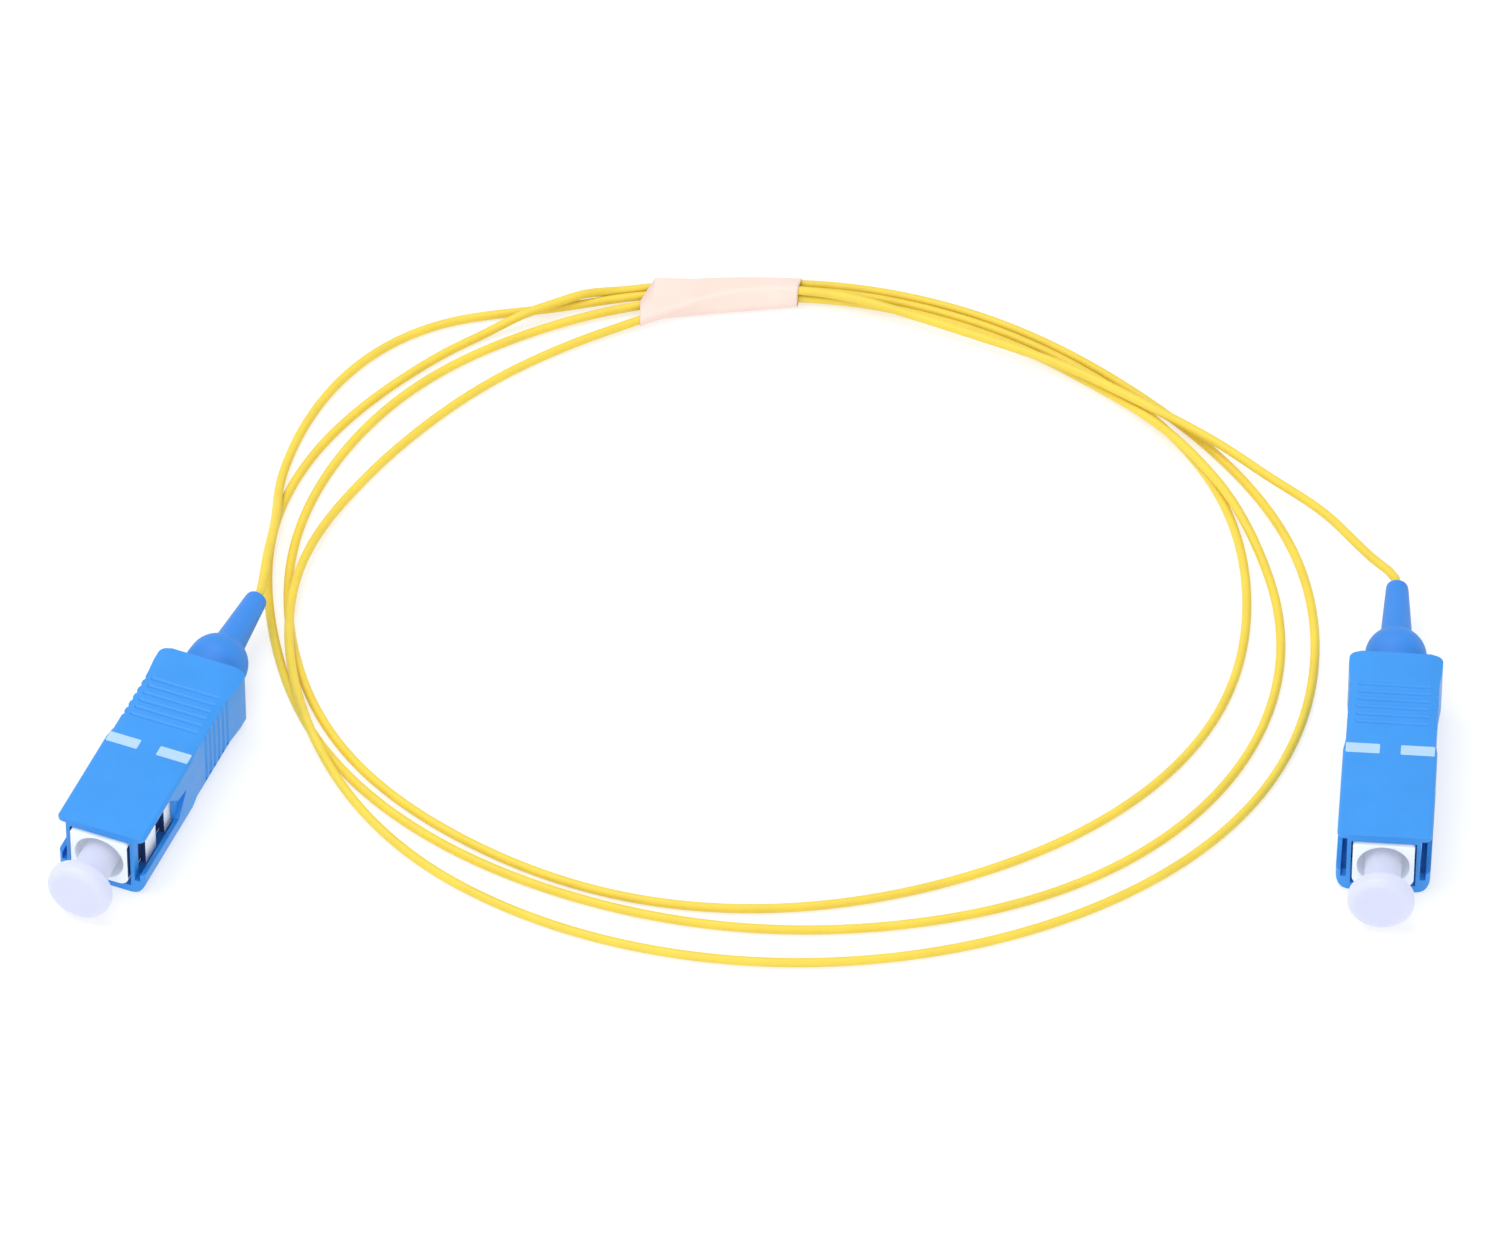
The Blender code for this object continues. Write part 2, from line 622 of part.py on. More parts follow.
def lift_at(degrees):
    """Height above the resting row, eased between the listed lifts."""
    turned_by = -np.array([angle for angle, _ in LIFTS])
    heights = np.array([height for _, height in LIFTS]) * MM
    i = np.clip(np.searchsorted(turned_by, -degrees) - 1, 0, len(LIFTS) - 2)
    t = np.clip((-degrees - turned_by[i]) / (turned_by[i + 1] - turned_by[i]), 0.0, 1.0)
    return heights[i] + (heights[i + 1] - heights[i]) * t * t * (3 - 2 * t)


def compass(point, near):
    """Degrees and radius of a point round the loop's centre, with the degrees in the turn nearest to near."""
    x, y = point[0] - LOOP_CENTRE[0], point[1] - LOOP_CENTRE[1]
    degrees = math.degrees(math.atan2(y, x))
    return degrees + FULL_TURN * round((near - degrees) / FULL_TURN), math.hypot(x, y)


def cord_points():
    """The middle line of the cord's tube, from plug A's boot to plug B's."""
    first, last = ROUTE[0][0], ROUTE[-1][0]
    leaving = [boot_end(PLUG_A, FACE_GAP), boot_end(PLUG_A, EXIT_LEAD)]
    arriving = [boot_end(PLUG_B, EXIT_LEAD), boot_end(PLUG_B, FACE_GAP)]
    starts = [compass(point, first) for point in leaving]
    finishes = [compass(point, last) for point in arriving]
    knots = starts + [(angle, radius * MM) for angle, radius in ROUTE] + finishes
    at = -np.array([angle for angle, _ in knots])
    radii = np.array([radius for _, radius in knots])
    turns = range(FIRST_TURN, LAST_TURN + 1)
    degrees = {station - FULL_TURN * turn for turn in turns for station in STATIONS}
    degrees = sorted(degrees | set(END_STATIONS), reverse=True)
    low, high = finishes[0][0] + MIN_STEP, starts[1][0] - MIN_STEP
    degrees = np.array([angle for angle in degrees if low < angle < high])
    radius = smooth_through(at, radii, -degrees)
    row = FLOOR_ROW + (TAPED_ROW - FLOOR_ROW) * in_tape(degrees)
    turn = np.radians(degrees)
    x = LOOP_CENTRE[0] + radius * np.cos(turn)
    y = LOOP_CENTRE[1] + radius * np.sin(turn)
    middle = np.stack([x, y, row + lift_at(degrees)], axis=1)
    return np.concatenate([leaving, middle, arriving])


def in_tape(degrees):
    """How far the cord is lifted onto the tape's under layer: 1 inside the tape, 0 away from it."""
    away = np.abs((degrees - TAPE_AT + FULL_TURN / 2) % FULL_TURN - FULL_TURN / 2)
    t = np.clip((TAPE_LANDS - away) / (TAPE_LANDS - TAPE_HOLDS), 0.0, 1.0)
    return t * t * (3 - 2 * t)


def cord(points, parts, finish):
    """The yellow buffered fibre as one tube."""
    curve = bpy.data.curves.new("fibre_cord", "CURVE")
    curve.dimensions = "3D"
    curve.bevel_depth = CORD_DIAMETER / 2
    curve.bevel_resolution = 2
    curve.use_fill_caps = True
    spline = curve.splines.new("POLY")
    spline.points.add(len(points) - 1)
    for target, point in zip(spline.points, points):
        target.co = (*point, 1.0)
    return add_object("fibre_cord", curve, parts, finish)


def strands_at(points, x):
    """(y, z) of each strand where the cord crosses the plane x behind the loop's centre."""
    found = []
    for a, b in zip(points, points[1:]):
        if (a[0] - x) * (b[0] - x) < 0 and a[1] > LOOP_CENTRE[1]:
            t = (x - a[0]) / (b[0] - a[0])
            found.append(a[1:] + t * (b[1:] - a[1:]))
    return np.array(found)


def flat_edges(x):
    """(y, z) of the two places that hold the tape's long edges out where the plane x crosses it."""
    along, *edges = (np.array(column) * MM for column in zip(*TAPE_EDGES))
    return [(LOOP_CENTRE[1] + np.interp(x - LOOP_CENTRE[0], along, edge), TAPED_ROW) for edge in edges]


def wrap(strands, room):
    """Outline, as TAPE_STEPS pairs of (y, z), of a band drawn tight round the strands with some room."""
    outline = []
    for index in range(TAPE_STEPS):
        turn = math.tau * index / TAPE_STEPS
        out = np.array((math.cos(turn), math.sin(turn)))
        outline.append(strands[np.argmax(strands @ out)] + out * room)
    return outline


def tape(points, parts, tools, finish):
    """The strip of tape drawn tight round the four strands at the back of the loop."""
    inner_room = CORD_DIAMETER / 2 + TAPE_GAP
    start, end = (LOOP_CENTRE[0] + ends * MM for ends in (TAPE_LEFT_END[0][0], TAPE_RIGHT_END[1][0]))
    bm = bmesh.new()
    rings = []
    for x in np.linspace(start - TAPE_SPARE, end + TAPE_SPARE, TAPE_RINGS):
        strands = np.concatenate([strands_at(points, x), flat_edges(x)])
        for room in (inner_room, inner_room + TAPE_WALL):
            rings.append([bm.verts.new((x, *place)) for place in wrap(strands, room)])
    inner, outer = rings[0::2], rings[1::2]
    pairs = list(zip(inner, inner[1:])) + list(zip(outer, outer[1:]))
    pairs += [(inner[0], outer[0]), (inner[-1], outer[-1])]
    for one, other in pairs:
        for index in range(TAPE_STEPS):
            after = (index + 1) % TAPE_STEPS
            bm.faces.new((one[index], one[after], other[after], other[index]))
    bmesh.ops.recalc_face_normals(bm, faces=bm.faces[:])
    sleeve = add_object("tape", mesh_from("tape", bm), parts, finish)
    for name, ends, side in (("left_end", TAPE_LEFT_END, -1), ("right_end", TAPE_RIGHT_END, 1)):
        cut(sleeve, tape_trimmer(name, ends, side, tools))
    return sleeve


def tape_trimmer(name, ends, side, tools):
    """A cutter for one end of the tape: everything on one side of the line through the given points."""
    bm = bmesh.new()
    reach = 10 * CUT_OVER
    edge = [(LOOP_CENTRE[0] + x * MM, LOOP_CENTRE[1] + y * MM) for x, y in ends]
    outline = edge + [(x + side * reach, y) for x, y in reversed(edge)]
    add_prism(bm, [(x, y, -CUT_OVER) for x, y in outline], (0.0, 0.0, reach))
    return add_object(name, mesh_from(name, bm), tools)


def stand_on_origin(holders, parts):
    """Moves everything so that the two plugs' box has its bottom centre on the origin."""
    bpy.context.view_layer.update()
    graph = bpy.context.evaluated_depsgraph_get()
    corners = []
    for obj in parts.objects:
        if obj.type == "MESH" and obj.parent:
            evaluated = obj.evaluated_get(graph)
            corners += [evaluated.matrix_world @ Vector(corner) for corner in evaluated.bound_box]
    low = Vector(min(c[i] for c in corners) for i in range(3))
    high = Vector(max(c[i] for c in corners) for i in range(3))
    shift = Vector((-(low.x + high.x) / 2, -(low.y + high.y) / 2, -low.z))
    for holder in holders:
        holder.location += shift
    return shift


def main():
    clear_scene()
    parts = new_collection("fibre_patch_cord")
    tools = new_collection("cutters", hidden=True)
    finishes = {
        "blue": material("blue plastic", (0.04, 0.27, 0.83), 0.35),
        "white": material("white plastic", (0.80, 0.86, 0.93), 0.4),
        "cap": material("cap plastic", (0.72, 0.73, 0.92), 0.35),
        "ceramic": material("zirconia", (0.86, 0.85, 0.80), 0.15),
        "metal": material("nickel", (0.62, 0.60, 0.56), 0.3),
        "yellow": material("yellow buffer", (0.90, 0.56, 0.03), 0.4),
        "tape": material("tape", (0.93, 0.78, 0.72), 0.5),
    }
    points = cord_points()
    fibre = cord(points, parts, finishes["yellow"])
    strip = tape(points, parts, tools, finishes["tape"])
    holders = [
        plug("a", PLUG_A, parts, tools, finishes),
        plug("b", PLUG_B, parts, tools, finishes),
        fibre,
        strip,
        *(obj for obj in tools.objects if obj.name.startswith("tape_end")),
    ]
    shift = stand_on_origin(holders, parts)
    print("moved by", [round(value / MM, 4) for value in shift], "mm")


main()
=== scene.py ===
# %% [markdown]
# # A fibre optic patch cord, dressed
#
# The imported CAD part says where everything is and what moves. This script puts the looks on it:
# a real cord, moulded plastic with rounded edges, milky dust caps and a strip of tape wound round.
# Every length is written in millimetres and multiplied by MM, because Blender works in metres.

# %% Load the frame
import math

import bmesh
import bpy
import numpy as np
from mathutils import Matrix, Vector


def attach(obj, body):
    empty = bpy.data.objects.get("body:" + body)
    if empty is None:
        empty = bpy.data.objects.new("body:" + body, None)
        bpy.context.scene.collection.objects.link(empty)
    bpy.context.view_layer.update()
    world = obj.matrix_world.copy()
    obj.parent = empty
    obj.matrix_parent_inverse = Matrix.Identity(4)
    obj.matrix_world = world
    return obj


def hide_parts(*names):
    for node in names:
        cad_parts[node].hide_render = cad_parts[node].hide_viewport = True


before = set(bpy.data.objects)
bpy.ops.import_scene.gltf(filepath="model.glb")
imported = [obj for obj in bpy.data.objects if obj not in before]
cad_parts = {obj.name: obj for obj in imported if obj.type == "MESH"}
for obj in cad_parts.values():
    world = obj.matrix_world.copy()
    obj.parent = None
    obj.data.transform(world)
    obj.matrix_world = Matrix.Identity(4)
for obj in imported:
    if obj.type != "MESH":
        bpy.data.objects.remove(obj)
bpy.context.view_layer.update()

MM = 0.001
scene = bpy.context.scene

# %% [markdown]
# ## The camera
#
# A product photo is usually taken from far away through a long lens, which keeps the two plugs the
# same size. The lens and the tilt are worked out from the plugs' known width and from how flat the
# coil looks. The camera could be aimed with a Track To constraint. Here its turn is written
# directly, so nothing has to be evaluated later.

# %% Place the camera
TILT = math.radians(45.5)
CAMERA_DISTANCE = 1400.0 * MM
LOOK_AT = Vector((0.1476, 19.7993, 0.0)) * MM
FOCAL_PIXELS = 14476.0
IMAGE_WIDTH = 1500.0

camera_data = bpy.data.cameras.new("camera")
camera_data.sensor_fit = "HORIZONTAL"
camera_data.sensor_width = 36.0
camera_data.lens = FOCAL_PIXELS / IMAGE_WIDTH * camera_data.sensor_width
camera_data.clip_start = 0.05
camera_data.clip_end = 20.0
camera = bpy.data.objects.new("camera", camera_data)
scene.collection.objects.link(camera)
back = Vector((0.0, -math.cos(TILT), math.sin(TILT)))
camera.location = LOOK_AT + back * CAMERA_DISTANCE
camera.rotation_euler = (math.pi / 2 - TILT, 0.0, 0.0)
scene.camera = camera
print(f"lens {camera_data.lens:.1f} mm, {CAMERA_DISTANCE:.2f} m away")

# %% [markdown]
# ## Where the plugs lie
#
# Each plug is modelled once, lying along Y with its mating face at the origin, and its finished
# mesh is then moved to each of its two places. A piece whose object stays unturned at the origin
# keeps its pattern when the model is exported.

# %% The two places
PLUG_PLACES = {"a": (-61.4824, -14.5807, 22.3), "b": (60.1976, -15.6507, 4.5)}
BOOT_LEANS = {"a": 0.0, "b": -0.033}
AXIS_HEIGHT = 3.7 * MM


def place_of(tag):
    x, y, degrees = PLUG_PLACES[tag]
    return Matrix.Translation((x * MM, y * MM, 0.0)) @ Matrix.Rotation(-math.radians(degrees), 4, "Z")


print("plug a's mating face:", [round(v / MM, 2) for v in place_of("a").translation])

# %% [markdown]
# ## The cord
#
# The cord is 0.9 mm buffered fibre. It was wound by hand, so its turns wander. Its route is a list
# of compass degrees round the loop and distances from the loop's middle, read through one smooth
# spline. A Bezier curve with handles would also do, but angles and distances keep each turn easy
# to read. Where strands cross, one of them climbs over the other in a long low hump.

# %% The cord's route
LOOP_CENTRE = (3.7476 * MM, 22.8993 * MM)
CORD_RADIUS = 0.45 * MM
BOOT_TIP = 37.1
BOOT_TIP_AT = BOOT_TIP * MM
BOOT_BENDS_AT = 24.0 * MM
EXIT_LEAD = 0.8 * MM
TAPE_WALL = 0.15 * MM
TAPE_GAP = 0.12 * MM
TAPE_AT, TAPE_HOLDS, TAPE_LANDS = 97.5, 12.0, 32.0

ROUTE = (
    # first turn, the inner one in front
    (180.0, 50.6), (176.0, 50.4), (170.0, 50.5), (163.0, 51.7), (154.0, 52.8), (142.0, 53.0),
    (131.0, 50.7), (120.0, 46.3), (113.0, 44.75), (107.0, 43.8), (88.0, 42.45), (70.0, 42.4),
    (52.0, 42.7), (38.0, 43.4), (20.0, 44.4), (0.0, 44.5), (-20.0, 44.2), (-42.0, 42.5),
    (-64.0, 40.9), (-88.0, 41.1),
    (-112.0, 42.7), (-135.0, 44.8), (-155.0, 47.2), (-172.0, 48.1),
    # second turn, the middle one
    (-190.0, 48.4), (-204.0, 47.8), (-219.0, 46.6), (-236.0, 44.5), (-253.0, 42.6), (-272.0, 41.45),
    (-290.0, 41.4), (-308.0, 41.7), (-324.0, 42.7), (-339.0, 44.4), (-352.0, 46.2), (-368.0, 48.1),
    (-388.0, 48.8), (-410.0, 47.4), (-434.0, 44.9), (-458.0, 44.0), (-480.0, 44.9), (-500.0, 47.1),
    (-519.0, 49.1), (-535.0, 49.9),
    # third turn, the outer one
    (-552.0, 50.8), (-565.0, 50.1), (-580.0, 48.3), (-591.0, 47.1), (-597.0, 46.2), (-602.0, 45.75),
    (-607.0, 45.6), (-613.0, 44.9), (-632.0, 43.4), (-650.0, 43.45), (-668.0, 43.7), (-682.0, 44.6),
    (-698.0, 47.0), (-712.0, 49.5), (-729.0, 51.5), (-750.0, 52.3), (-774.0, 50.5), (-798.0, 48.7),
    (-825.0, 48.4), (-848.0, 49.3), (-866.0, 49.8), (-883.0, 49.1), (-900.0, 47.8),
    # last half turn, over the others and out to the second plug
    (-915.0, 45.5), (-930.0, 43.1), (-950.0, 41.4), (-973.0, 40.9), (-992.0, 41.5), (-1005.0, 40.4),
    (-1020.0, 40.1), (-1033.0, 41.3), (-1046.0, 43.6), (-1056.0, 47.0), (-1063.0, 49.8), (-1070.0, 53.2),
    (-1077.0, 56.4),
)

LIFTS = (
    (180.5, 3.25), (157.0, 0.0), (-311.0, 0.0), (-333.0, 1.06), (-341.0, 1.06), (-357.0, 0.0),
    (-589.0, 0.0), (-598.0, 1.05), (-602.5, 1.05), (-610.0, 0.0), (-850.0, 0.0), (-882.0, 1.05),
    (-901.0, 1.0), (-922.0, 0.0), (-964.0, 0.0), (-984.0, 0.97), (-1015.0, 0.97), (-1046.0, 1.6),
    (-1060.0, 1.45), (-1082.0, 3.25),
)


def smooth_through(at, values, wanted):
    """Natural cubic spline through the points (at, values), read at the wanted places."""
    step = np.diff(at)
    slope = np.diff(values) / step
    count = len(at)
    matrix = np.eye(count)
    right = np.zeros(count)
    for i in range(1, count - 1):
        matrix[i, i - 1 : i + 2] = (step[i - 1], 2 * (step[i - 1] + step[i]), step[i])
        right[i] = 6 * (slope[i] - slope[i - 1])
    bend = np.linalg.solve(matrix, right)
    i = np.clip(np.searchsorted(at, wanted) - 1, 0, count - 2)
    t = wanted - at[i]
    lean = slope[i] - step[i] * (2 * bend[i] + bend[i + 1]) / 6
    return values[i] + t * (lean + t * (bend[i] / 2 + t * (bend[i + 1] - bend[i]) / (6 * step[i])))


def boot_end(tag, past):
    """A point on the line of a plug's leaning boot, a distance past the boot's end."""
    reach = BOOT_TIP_AT + past
    return place_of(tag) @ Vector((BOOT_LEANS[tag] * (reach - BOOT_BENDS_AT), reach, AXIS_HEIGHT))


def compass(point, near):
    """Degrees and distance of a point round the loop, with the degrees in the turn nearest to near."""
    x, y = point[0] - LOOP_CENTRE[0], point[1] - LOOP_CENTRE[1]
    degrees = math.degrees(math.atan2(y, x))
    return degrees + 360.0 * round((near - degrees) / 360.0), math.hypot(x, y)


def eased(t):
    t = np.clip(t, 0.0, 1.0)
    return t * t * (3 - 2 * t)


def height_at(degrees):
    """Height of the cord's middle: on the floor, on the tape's under layer, or over other strands."""
    turned_by = -np.array([angle for angle, _ in LIFTS])
    lifts = np.array([height for _, height in LIFTS]) * MM
    i = np.clip(np.searchsorted(turned_by, -degrees) - 1, 0, len(LIFTS) - 2)
    climb = eased((-degrees - turned_by[i]) / (turned_by[i + 1] - turned_by[i]))
    away = np.abs((degrees - TAPE_AT + 180.0) % 360.0 - 180.0)
    on_tape = eased((TAPE_LANDS - away) / (TAPE_LANDS - TAPE_HOLDS))
    return CORD_RADIUS + (TAPE_WALL + TAPE_GAP) * on_tape + lifts[i] + (lifts[i + 1] - lifts[i]) * climb


def wound_line(spacing=1.5):
    """The cord's middle line from just outside one boot to just outside the other."""
    leaving, arriving = boot_end("a", EXIT_LEAD), boot_end("b", EXIT_LEAD)
    start, end = compass(leaving, ROUTE[0][0]), compass(arriving, ROUTE[-1][0])
    knots = [start] + [(angle, radius * MM) for angle, radius in ROUTE] + [end]
    at = -np.array([angle for angle, _ in knots])
    degrees = np.arange(start[0] - 2.0, end[0] + 2.0, -spacing)
    radius = smooth_through(at, np.array([radius for _, radius in knots]), -degrees)
    turn = np.radians(degrees)
    x = LOOP_CENTRE[0] + radius * np.cos(turn)
    y = LOOP_CENTRE[1] + radius * np.sin(turn)
    return np.stack([x, y, height_at(degrees)], axis=1)


def cord_line(spacing=1.3 * MM):
    """The whole middle line, rounded where it leaves the boots, with evenly spaced points."""
    ends = [[boot_end(tag, -0.2 * MM), boot_end(tag, 0.25 * MM)] for tag in ("a", "b")]
    rough = np.concatenate([np.array(ends[0]), wound_line(), np.array(ends[1][::-1])])
    along = np.concatenate([[0.0], np.cumsum(np.linalg.norm(np.diff(rough, axis=0), axis=1))])
    wanted = np.linspace(0.0, along[-1], round(along[-1] / spacing))
    return np.stack([smooth_through(along, rough[:, axis], wanted) for axis in range(3)], axis=1)


cord_points = cord_line()
cord_length = np.linalg.norm(np.diff(cord_points, axis=0), axis=1).sum()
print(f"{len(cord_points)} points, {cord_length:.3f} m of cord")

# %% [markdown]
# ## The cord's tube
#
# One open spline with a round bevel makes the tube. A swept mesh would be heavier and no rounder.

# %% Make the tube
curve = bpy.data.curves.new("buffered_fibre", "CURVE")
curve.dimensions = "3D"
curve.bevel_depth = 1.0
curve.bevel_resolution = 4
curve.use_fill_caps = True
spline = curve.splines.new("POLY")
spline.points.add(len(cord_points) - 1)
for target, point in zip(spline.points, cord_points):
    target.co = (*point, 1.0)
    target.radius = CORD_RADIUS
spline.use_smooth = True
buffered_fibre = bpy.data.objects.new("buffered_fibre", curve)
scene.collection.objects.link(buffered_fibre)
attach(buffered_fibre, "cord")
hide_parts("fibre_cord")

# %% [markdown]
# ## The studio
#
# The photo is high key: a white table lit from below too, with soft light from above and hardly a
# shadow. One broad light overhead, a weaker one in front, a bright sky and the glow of the table
# give that.

# %% Floor and light
FLOOR_SIZE = 6.0
LIGHTS_AIM = Vector((0.0, 0.02, 0.0))
floor_mesh = bpy.data.meshes.new("studio_floor")
bm = bmesh.new()
bmesh.ops.create_grid(bm, x_segments=1, y_segments=1, size=FLOOR_SIZE / 2)
bm.to_mesh(floor_mesh)
bm.free()
studio_floor = bpy.data.objects.new("studio_floor", floor_mesh)
scene.collection.objects.link(studio_floor)


def soft_light(name, place, size, watts):
    data = bpy.data.lights.new(name, "AREA")
    data.shape = "SQUARE"
    data.size = size
    data.energy = watts
    lamp = bpy.data.objects.new(name, data)
    scene.collection.objects.link(lamp)
    lamp.location = place
    aim = LIGHTS_AIM - Vector(place)
    lamp.rotation_euler = aim.to_track_quat("-Z", "Y").to_euler()
    return lamp


soft_light("overhead light", (-0.35, 0.1, 1.1), 0.9, 6.0)
soft_light("front light", (-0.2, -1.2, 0.6), 0.8, 3.2)

world = bpy.data.worlds.new("studio sky")
world.use_nodes = True
sky = world.node_tree.nodes["Background"]
sky.inputs["Color"].default_value = (0.96, 0.98, 1.0, 1.0)
sky.inputs["Strength"].default_value = 0.85
scene.world = world
scene.view_settings.view_transform = "Standard"

# %% [markdown]
# ## Helpers for finishes
#
# Moulded plastic is never one flat colour. Pigment mottles a little, and the mould's texture
# catches the light. The mottling and the grain are one node group, which every finish here shares
# with its own values. It puts out a colour, a roughness and a normal.

# %% The moulded surface group
def socket(group, name, kind, into, default=None):
    made = group.interface.new_socket(name=name, in_out="INPUT" if into else "OUTPUT", socket_type=kind)
    if default is not None:
        made.default_value = default
    return made


def build_moulded_group():
    group = bpy.data.node_groups.new("moulded surface", "ShaderNodeTree")
    socket(group, "Colour", "NodeSocketColor", True, (0.5, 0.5, 0.5, 1.0))
    socket(group, "Mottle", "NodeSocketFloat", True, 0.06)
    socket(group, "Roughness", "NodeSocketFloat", True, 0.4)
    socket(group, "Grain Size", "NodeSocketFloat", True, 6000.0)
    socket(group, "Grain Depth", "NodeSocketFloat", True, 0.15)
    socket(group, "Colour", "NodeSocketColor", False)
    socket(group, "Roughness", "NodeSocketFloat", False)
    socket(group, "Normal", "NodeSocketVector", False)
    nodes, links = group.nodes, group.links
    inside = nodes.new("NodeGroupInput")
    outside = nodes.new("NodeGroupOutput")
    place = nodes.new("ShaderNodeTexCoord")

    cloud = nodes.new("ShaderNodeTexNoise")
    cloud.inputs["Scale"].default_value = 260.0
    cloud.inputs["Detail"].default_value = 3.0
    links.new(place.outputs["Object"], cloud.inputs["Vector"])
    swing = nodes.new("ShaderNodeMapRange")
    swing.inputs["From Min"].default_value = 0.3
    swing.inputs["From Max"].default_value = 0.7
    swing.inputs["To Min"].default_value = -1.0
    swing.inputs["To Max"].default_value = 1.0
    links.new(cloud.outputs["Fac"], swing.inputs["Value"])
    amount = nodes.new("ShaderNodeMath")
    amount.operation = "MULTIPLY_ADD"
    amount.inputs[2].default_value = 1.0
    links.new(swing.outputs["Result"], amount.inputs[0])
    links.new(inside.outputs["Mottle"], amount.inputs[1])
    shade = nodes.new("ShaderNodeHueSaturation")
    links.new(amount.outputs["Value"], shade.inputs["Value"])
    links.new(inside.outputs["Colour"], shade.inputs["Color"])
    links.new(shade.outputs["Color"], outside.inputs["Colour"])

    rough = nodes.new("ShaderNodeMath")
    rough.operation = "MULTIPLY_ADD"
    rough.inputs[1].default_value = 0.05
    links.new(swing.outputs["Result"], rough.inputs[0])
    links.new(inside.outputs["Roughness"], rough.inputs[2])
    links.new(rough.outputs["Value"], outside.inputs["Roughness"])

    grain = nodes.new("ShaderNodeTexNoise")
    grain.inputs["Detail"].default_value = 2.0
    links.new(place.outputs["Object"], grain.inputs["Vector"])
    links.new(inside.outputs["Grain Size"], grain.inputs["Scale"])
    bump = nodes.new("ShaderNodeBump")
    bump.inputs["Distance"].default_value = 0.02 * MM
    links.new(inside.outputs["Grain Depth"], bump.inputs["Strength"])
    links.new(grain.outputs["Fac"], bump.inputs["Height"])
    links.new(bump.outputs["Normal"], outside.inputs["Normal"])
    return group


moulded_group = build_moulded_group()
print("moulded surface group:", len(moulded_group.nodes), "nodes")


# %% [markdown]
# Each finish is a material of its own with that group in it. Thin white plastic lets light in from
# all sides, so the caps and the frames scatter it below their surface. They also glow a little, which
# is painted light that lifts their shaded hollows. The table is lit from below, which is a glow too.
# A lamp under the table would need glass.

# %% Make the materials
def moulded(name, colour, roughness, mottle=0.05, grain_depth=0.15, grain_size=6000.0):
    made = bpy.data.materials.new(name)
    made.use_nodes = True
    nodes, links = made.node_tree.nodes, made.node_tree.links
    shader = nodes["Principled BSDF"]
    surface = nodes.new("ShaderNodeGroup")
    surface.node_tree = moulded_group
    surface.inputs["Colour"].default_value = (*colour, 1.0)
    surface.inputs["Roughness"].default_value = roughness
    surface.inputs["Mottle"].default_value = mottle
    surface.inputs["Grain Depth"].default_value = grain_depth
    surface.inputs["Grain Size"].default_value = grain_size
    links.new(surface.outputs["Colour"], shader.inputs["Base Color"])
    links.new(surface.outputs["Roughness"], shader.inputs["Roughness"])
    links.new(surface.outputs["Normal"], shader.inputs["Normal"])
    return made


def principled(made):
    return made.node_tree.nodes["Principled BSDF"].inputs


def glow(made, colour, strength):
    principled(made)["Emission Color"].default_value = (*colour, 1.0)
    principled(made)["Emission Strength"].default_value = strength


def let_light_in(made, weight, depth):
    principled(made)["Subsurface Weight"].default_value = weight
    principled(made)["Subsurface Scale"].default_value = depth
    principled(made)["Subsurface Radius"].default_value = (1.0, 1.0, 1.0)


grip_plastic = moulded("blue grip plastic", (0.022, 0.265, 0.75), 0.42, mottle=0.03)
boot_rubber = moulded("blue boot rubber", (0.025, 0.222, 0.70), 0.55, mottle=0.04)
frame_plastic = moulded("white frame plastic", (0.86, 0.92, 0.97), 0.38, mottle=0.015)
let_light_in(frame_plastic, 0.3, 1.5 * MM)
# Painted light: the frame glows a little, which lifts its front faces and the shaded inside of its mouth.
glow(frame_plastic, (0.90, 0.96, 1.0), 0.08)
cap_plastic = moulded("milky cap plastic", (0.51, 0.53, 0.70), 0.4, mottle=0.02)
let_light_in(cap_plastic, 0.4, 2.0 * MM)
# Painted light: the cap glows a little, which lifts its stem in the shade under the grip's roof.
glow(cap_plastic, (0.92, 0.94, 1.0), 0.16)
mark_paint = moulded("white mark paint", (0.40, 0.60, 0.78), 0.5, mottle=0.03)
ferrule_ceramic = moulded("white ferrule ceramic", (0.86, 0.85, 0.80), 0.12, mottle=0.01, grain_depth=0.02)
# Painted shade: a near-black navy that stands in for the shade on the white frame's faces deep between the
# ears.
painted_slot_shade = moulded("painted shade deep in the slots", (0.012, 0.045, 0.16), 0.6, mottle=0.1)
sleeve_metal = moulded("nickel sleeve", (0.62, 0.60, 0.56), 0.28, mottle=0.05, grain_depth=0.1)
principled(sleeve_metal)["Metallic"].default_value = 1.0
buffer_plastic = moulded("yellow buffer", (0.81, 0.60, 0.052), 0.45, mottle=0.05, grain_depth=0.1)
curve.materials.append(buffer_plastic)
tape_paper = moulded("pale tape", (0.86, 0.67, 0.59), 0.6, mottle=0.03, grain_depth=0.3, grain_size=2500.0)
floor_paint = moulded("white sweep", (0.41, 0.41, 0.41), 0.7, mottle=0.004, grain_depth=0.0)
glow(floor_paint, (1.0, 1.0, 1.0), 0.6)
floor_mesh.materials.append(floor_paint)
print("materials:", len(bpy.data.materials))

# %% [markdown]
# ## Helpers for pieces
#
# Square pieces start as a cube with rounded edges, and openings are cut with EXACT Booleans. The
# result is read back as one mesh, its flat triangles are dissolved, and a live Bevel modifier
# rounds what is left sharp by a few hundredths of a millimetre, as a steel mould does. Such an
# edge is what catches the light and makes a moulding look real.

# %% Boxes, cuts and finishing
WELD, SEAM = 0.002 * MM, 0.001 * MM
FLAT_WITHIN, SHARP_FROM = math.radians(1.0), math.radians(40.0)


def new_piece(name, bm):
    mesh = bpy.data.meshes.new(name)
    bm.to_mesh(mesh)
    bm.free()
    obj = bpy.data.objects.new(name, mesh)
    scene.collection.objects.link(obj)
    return obj


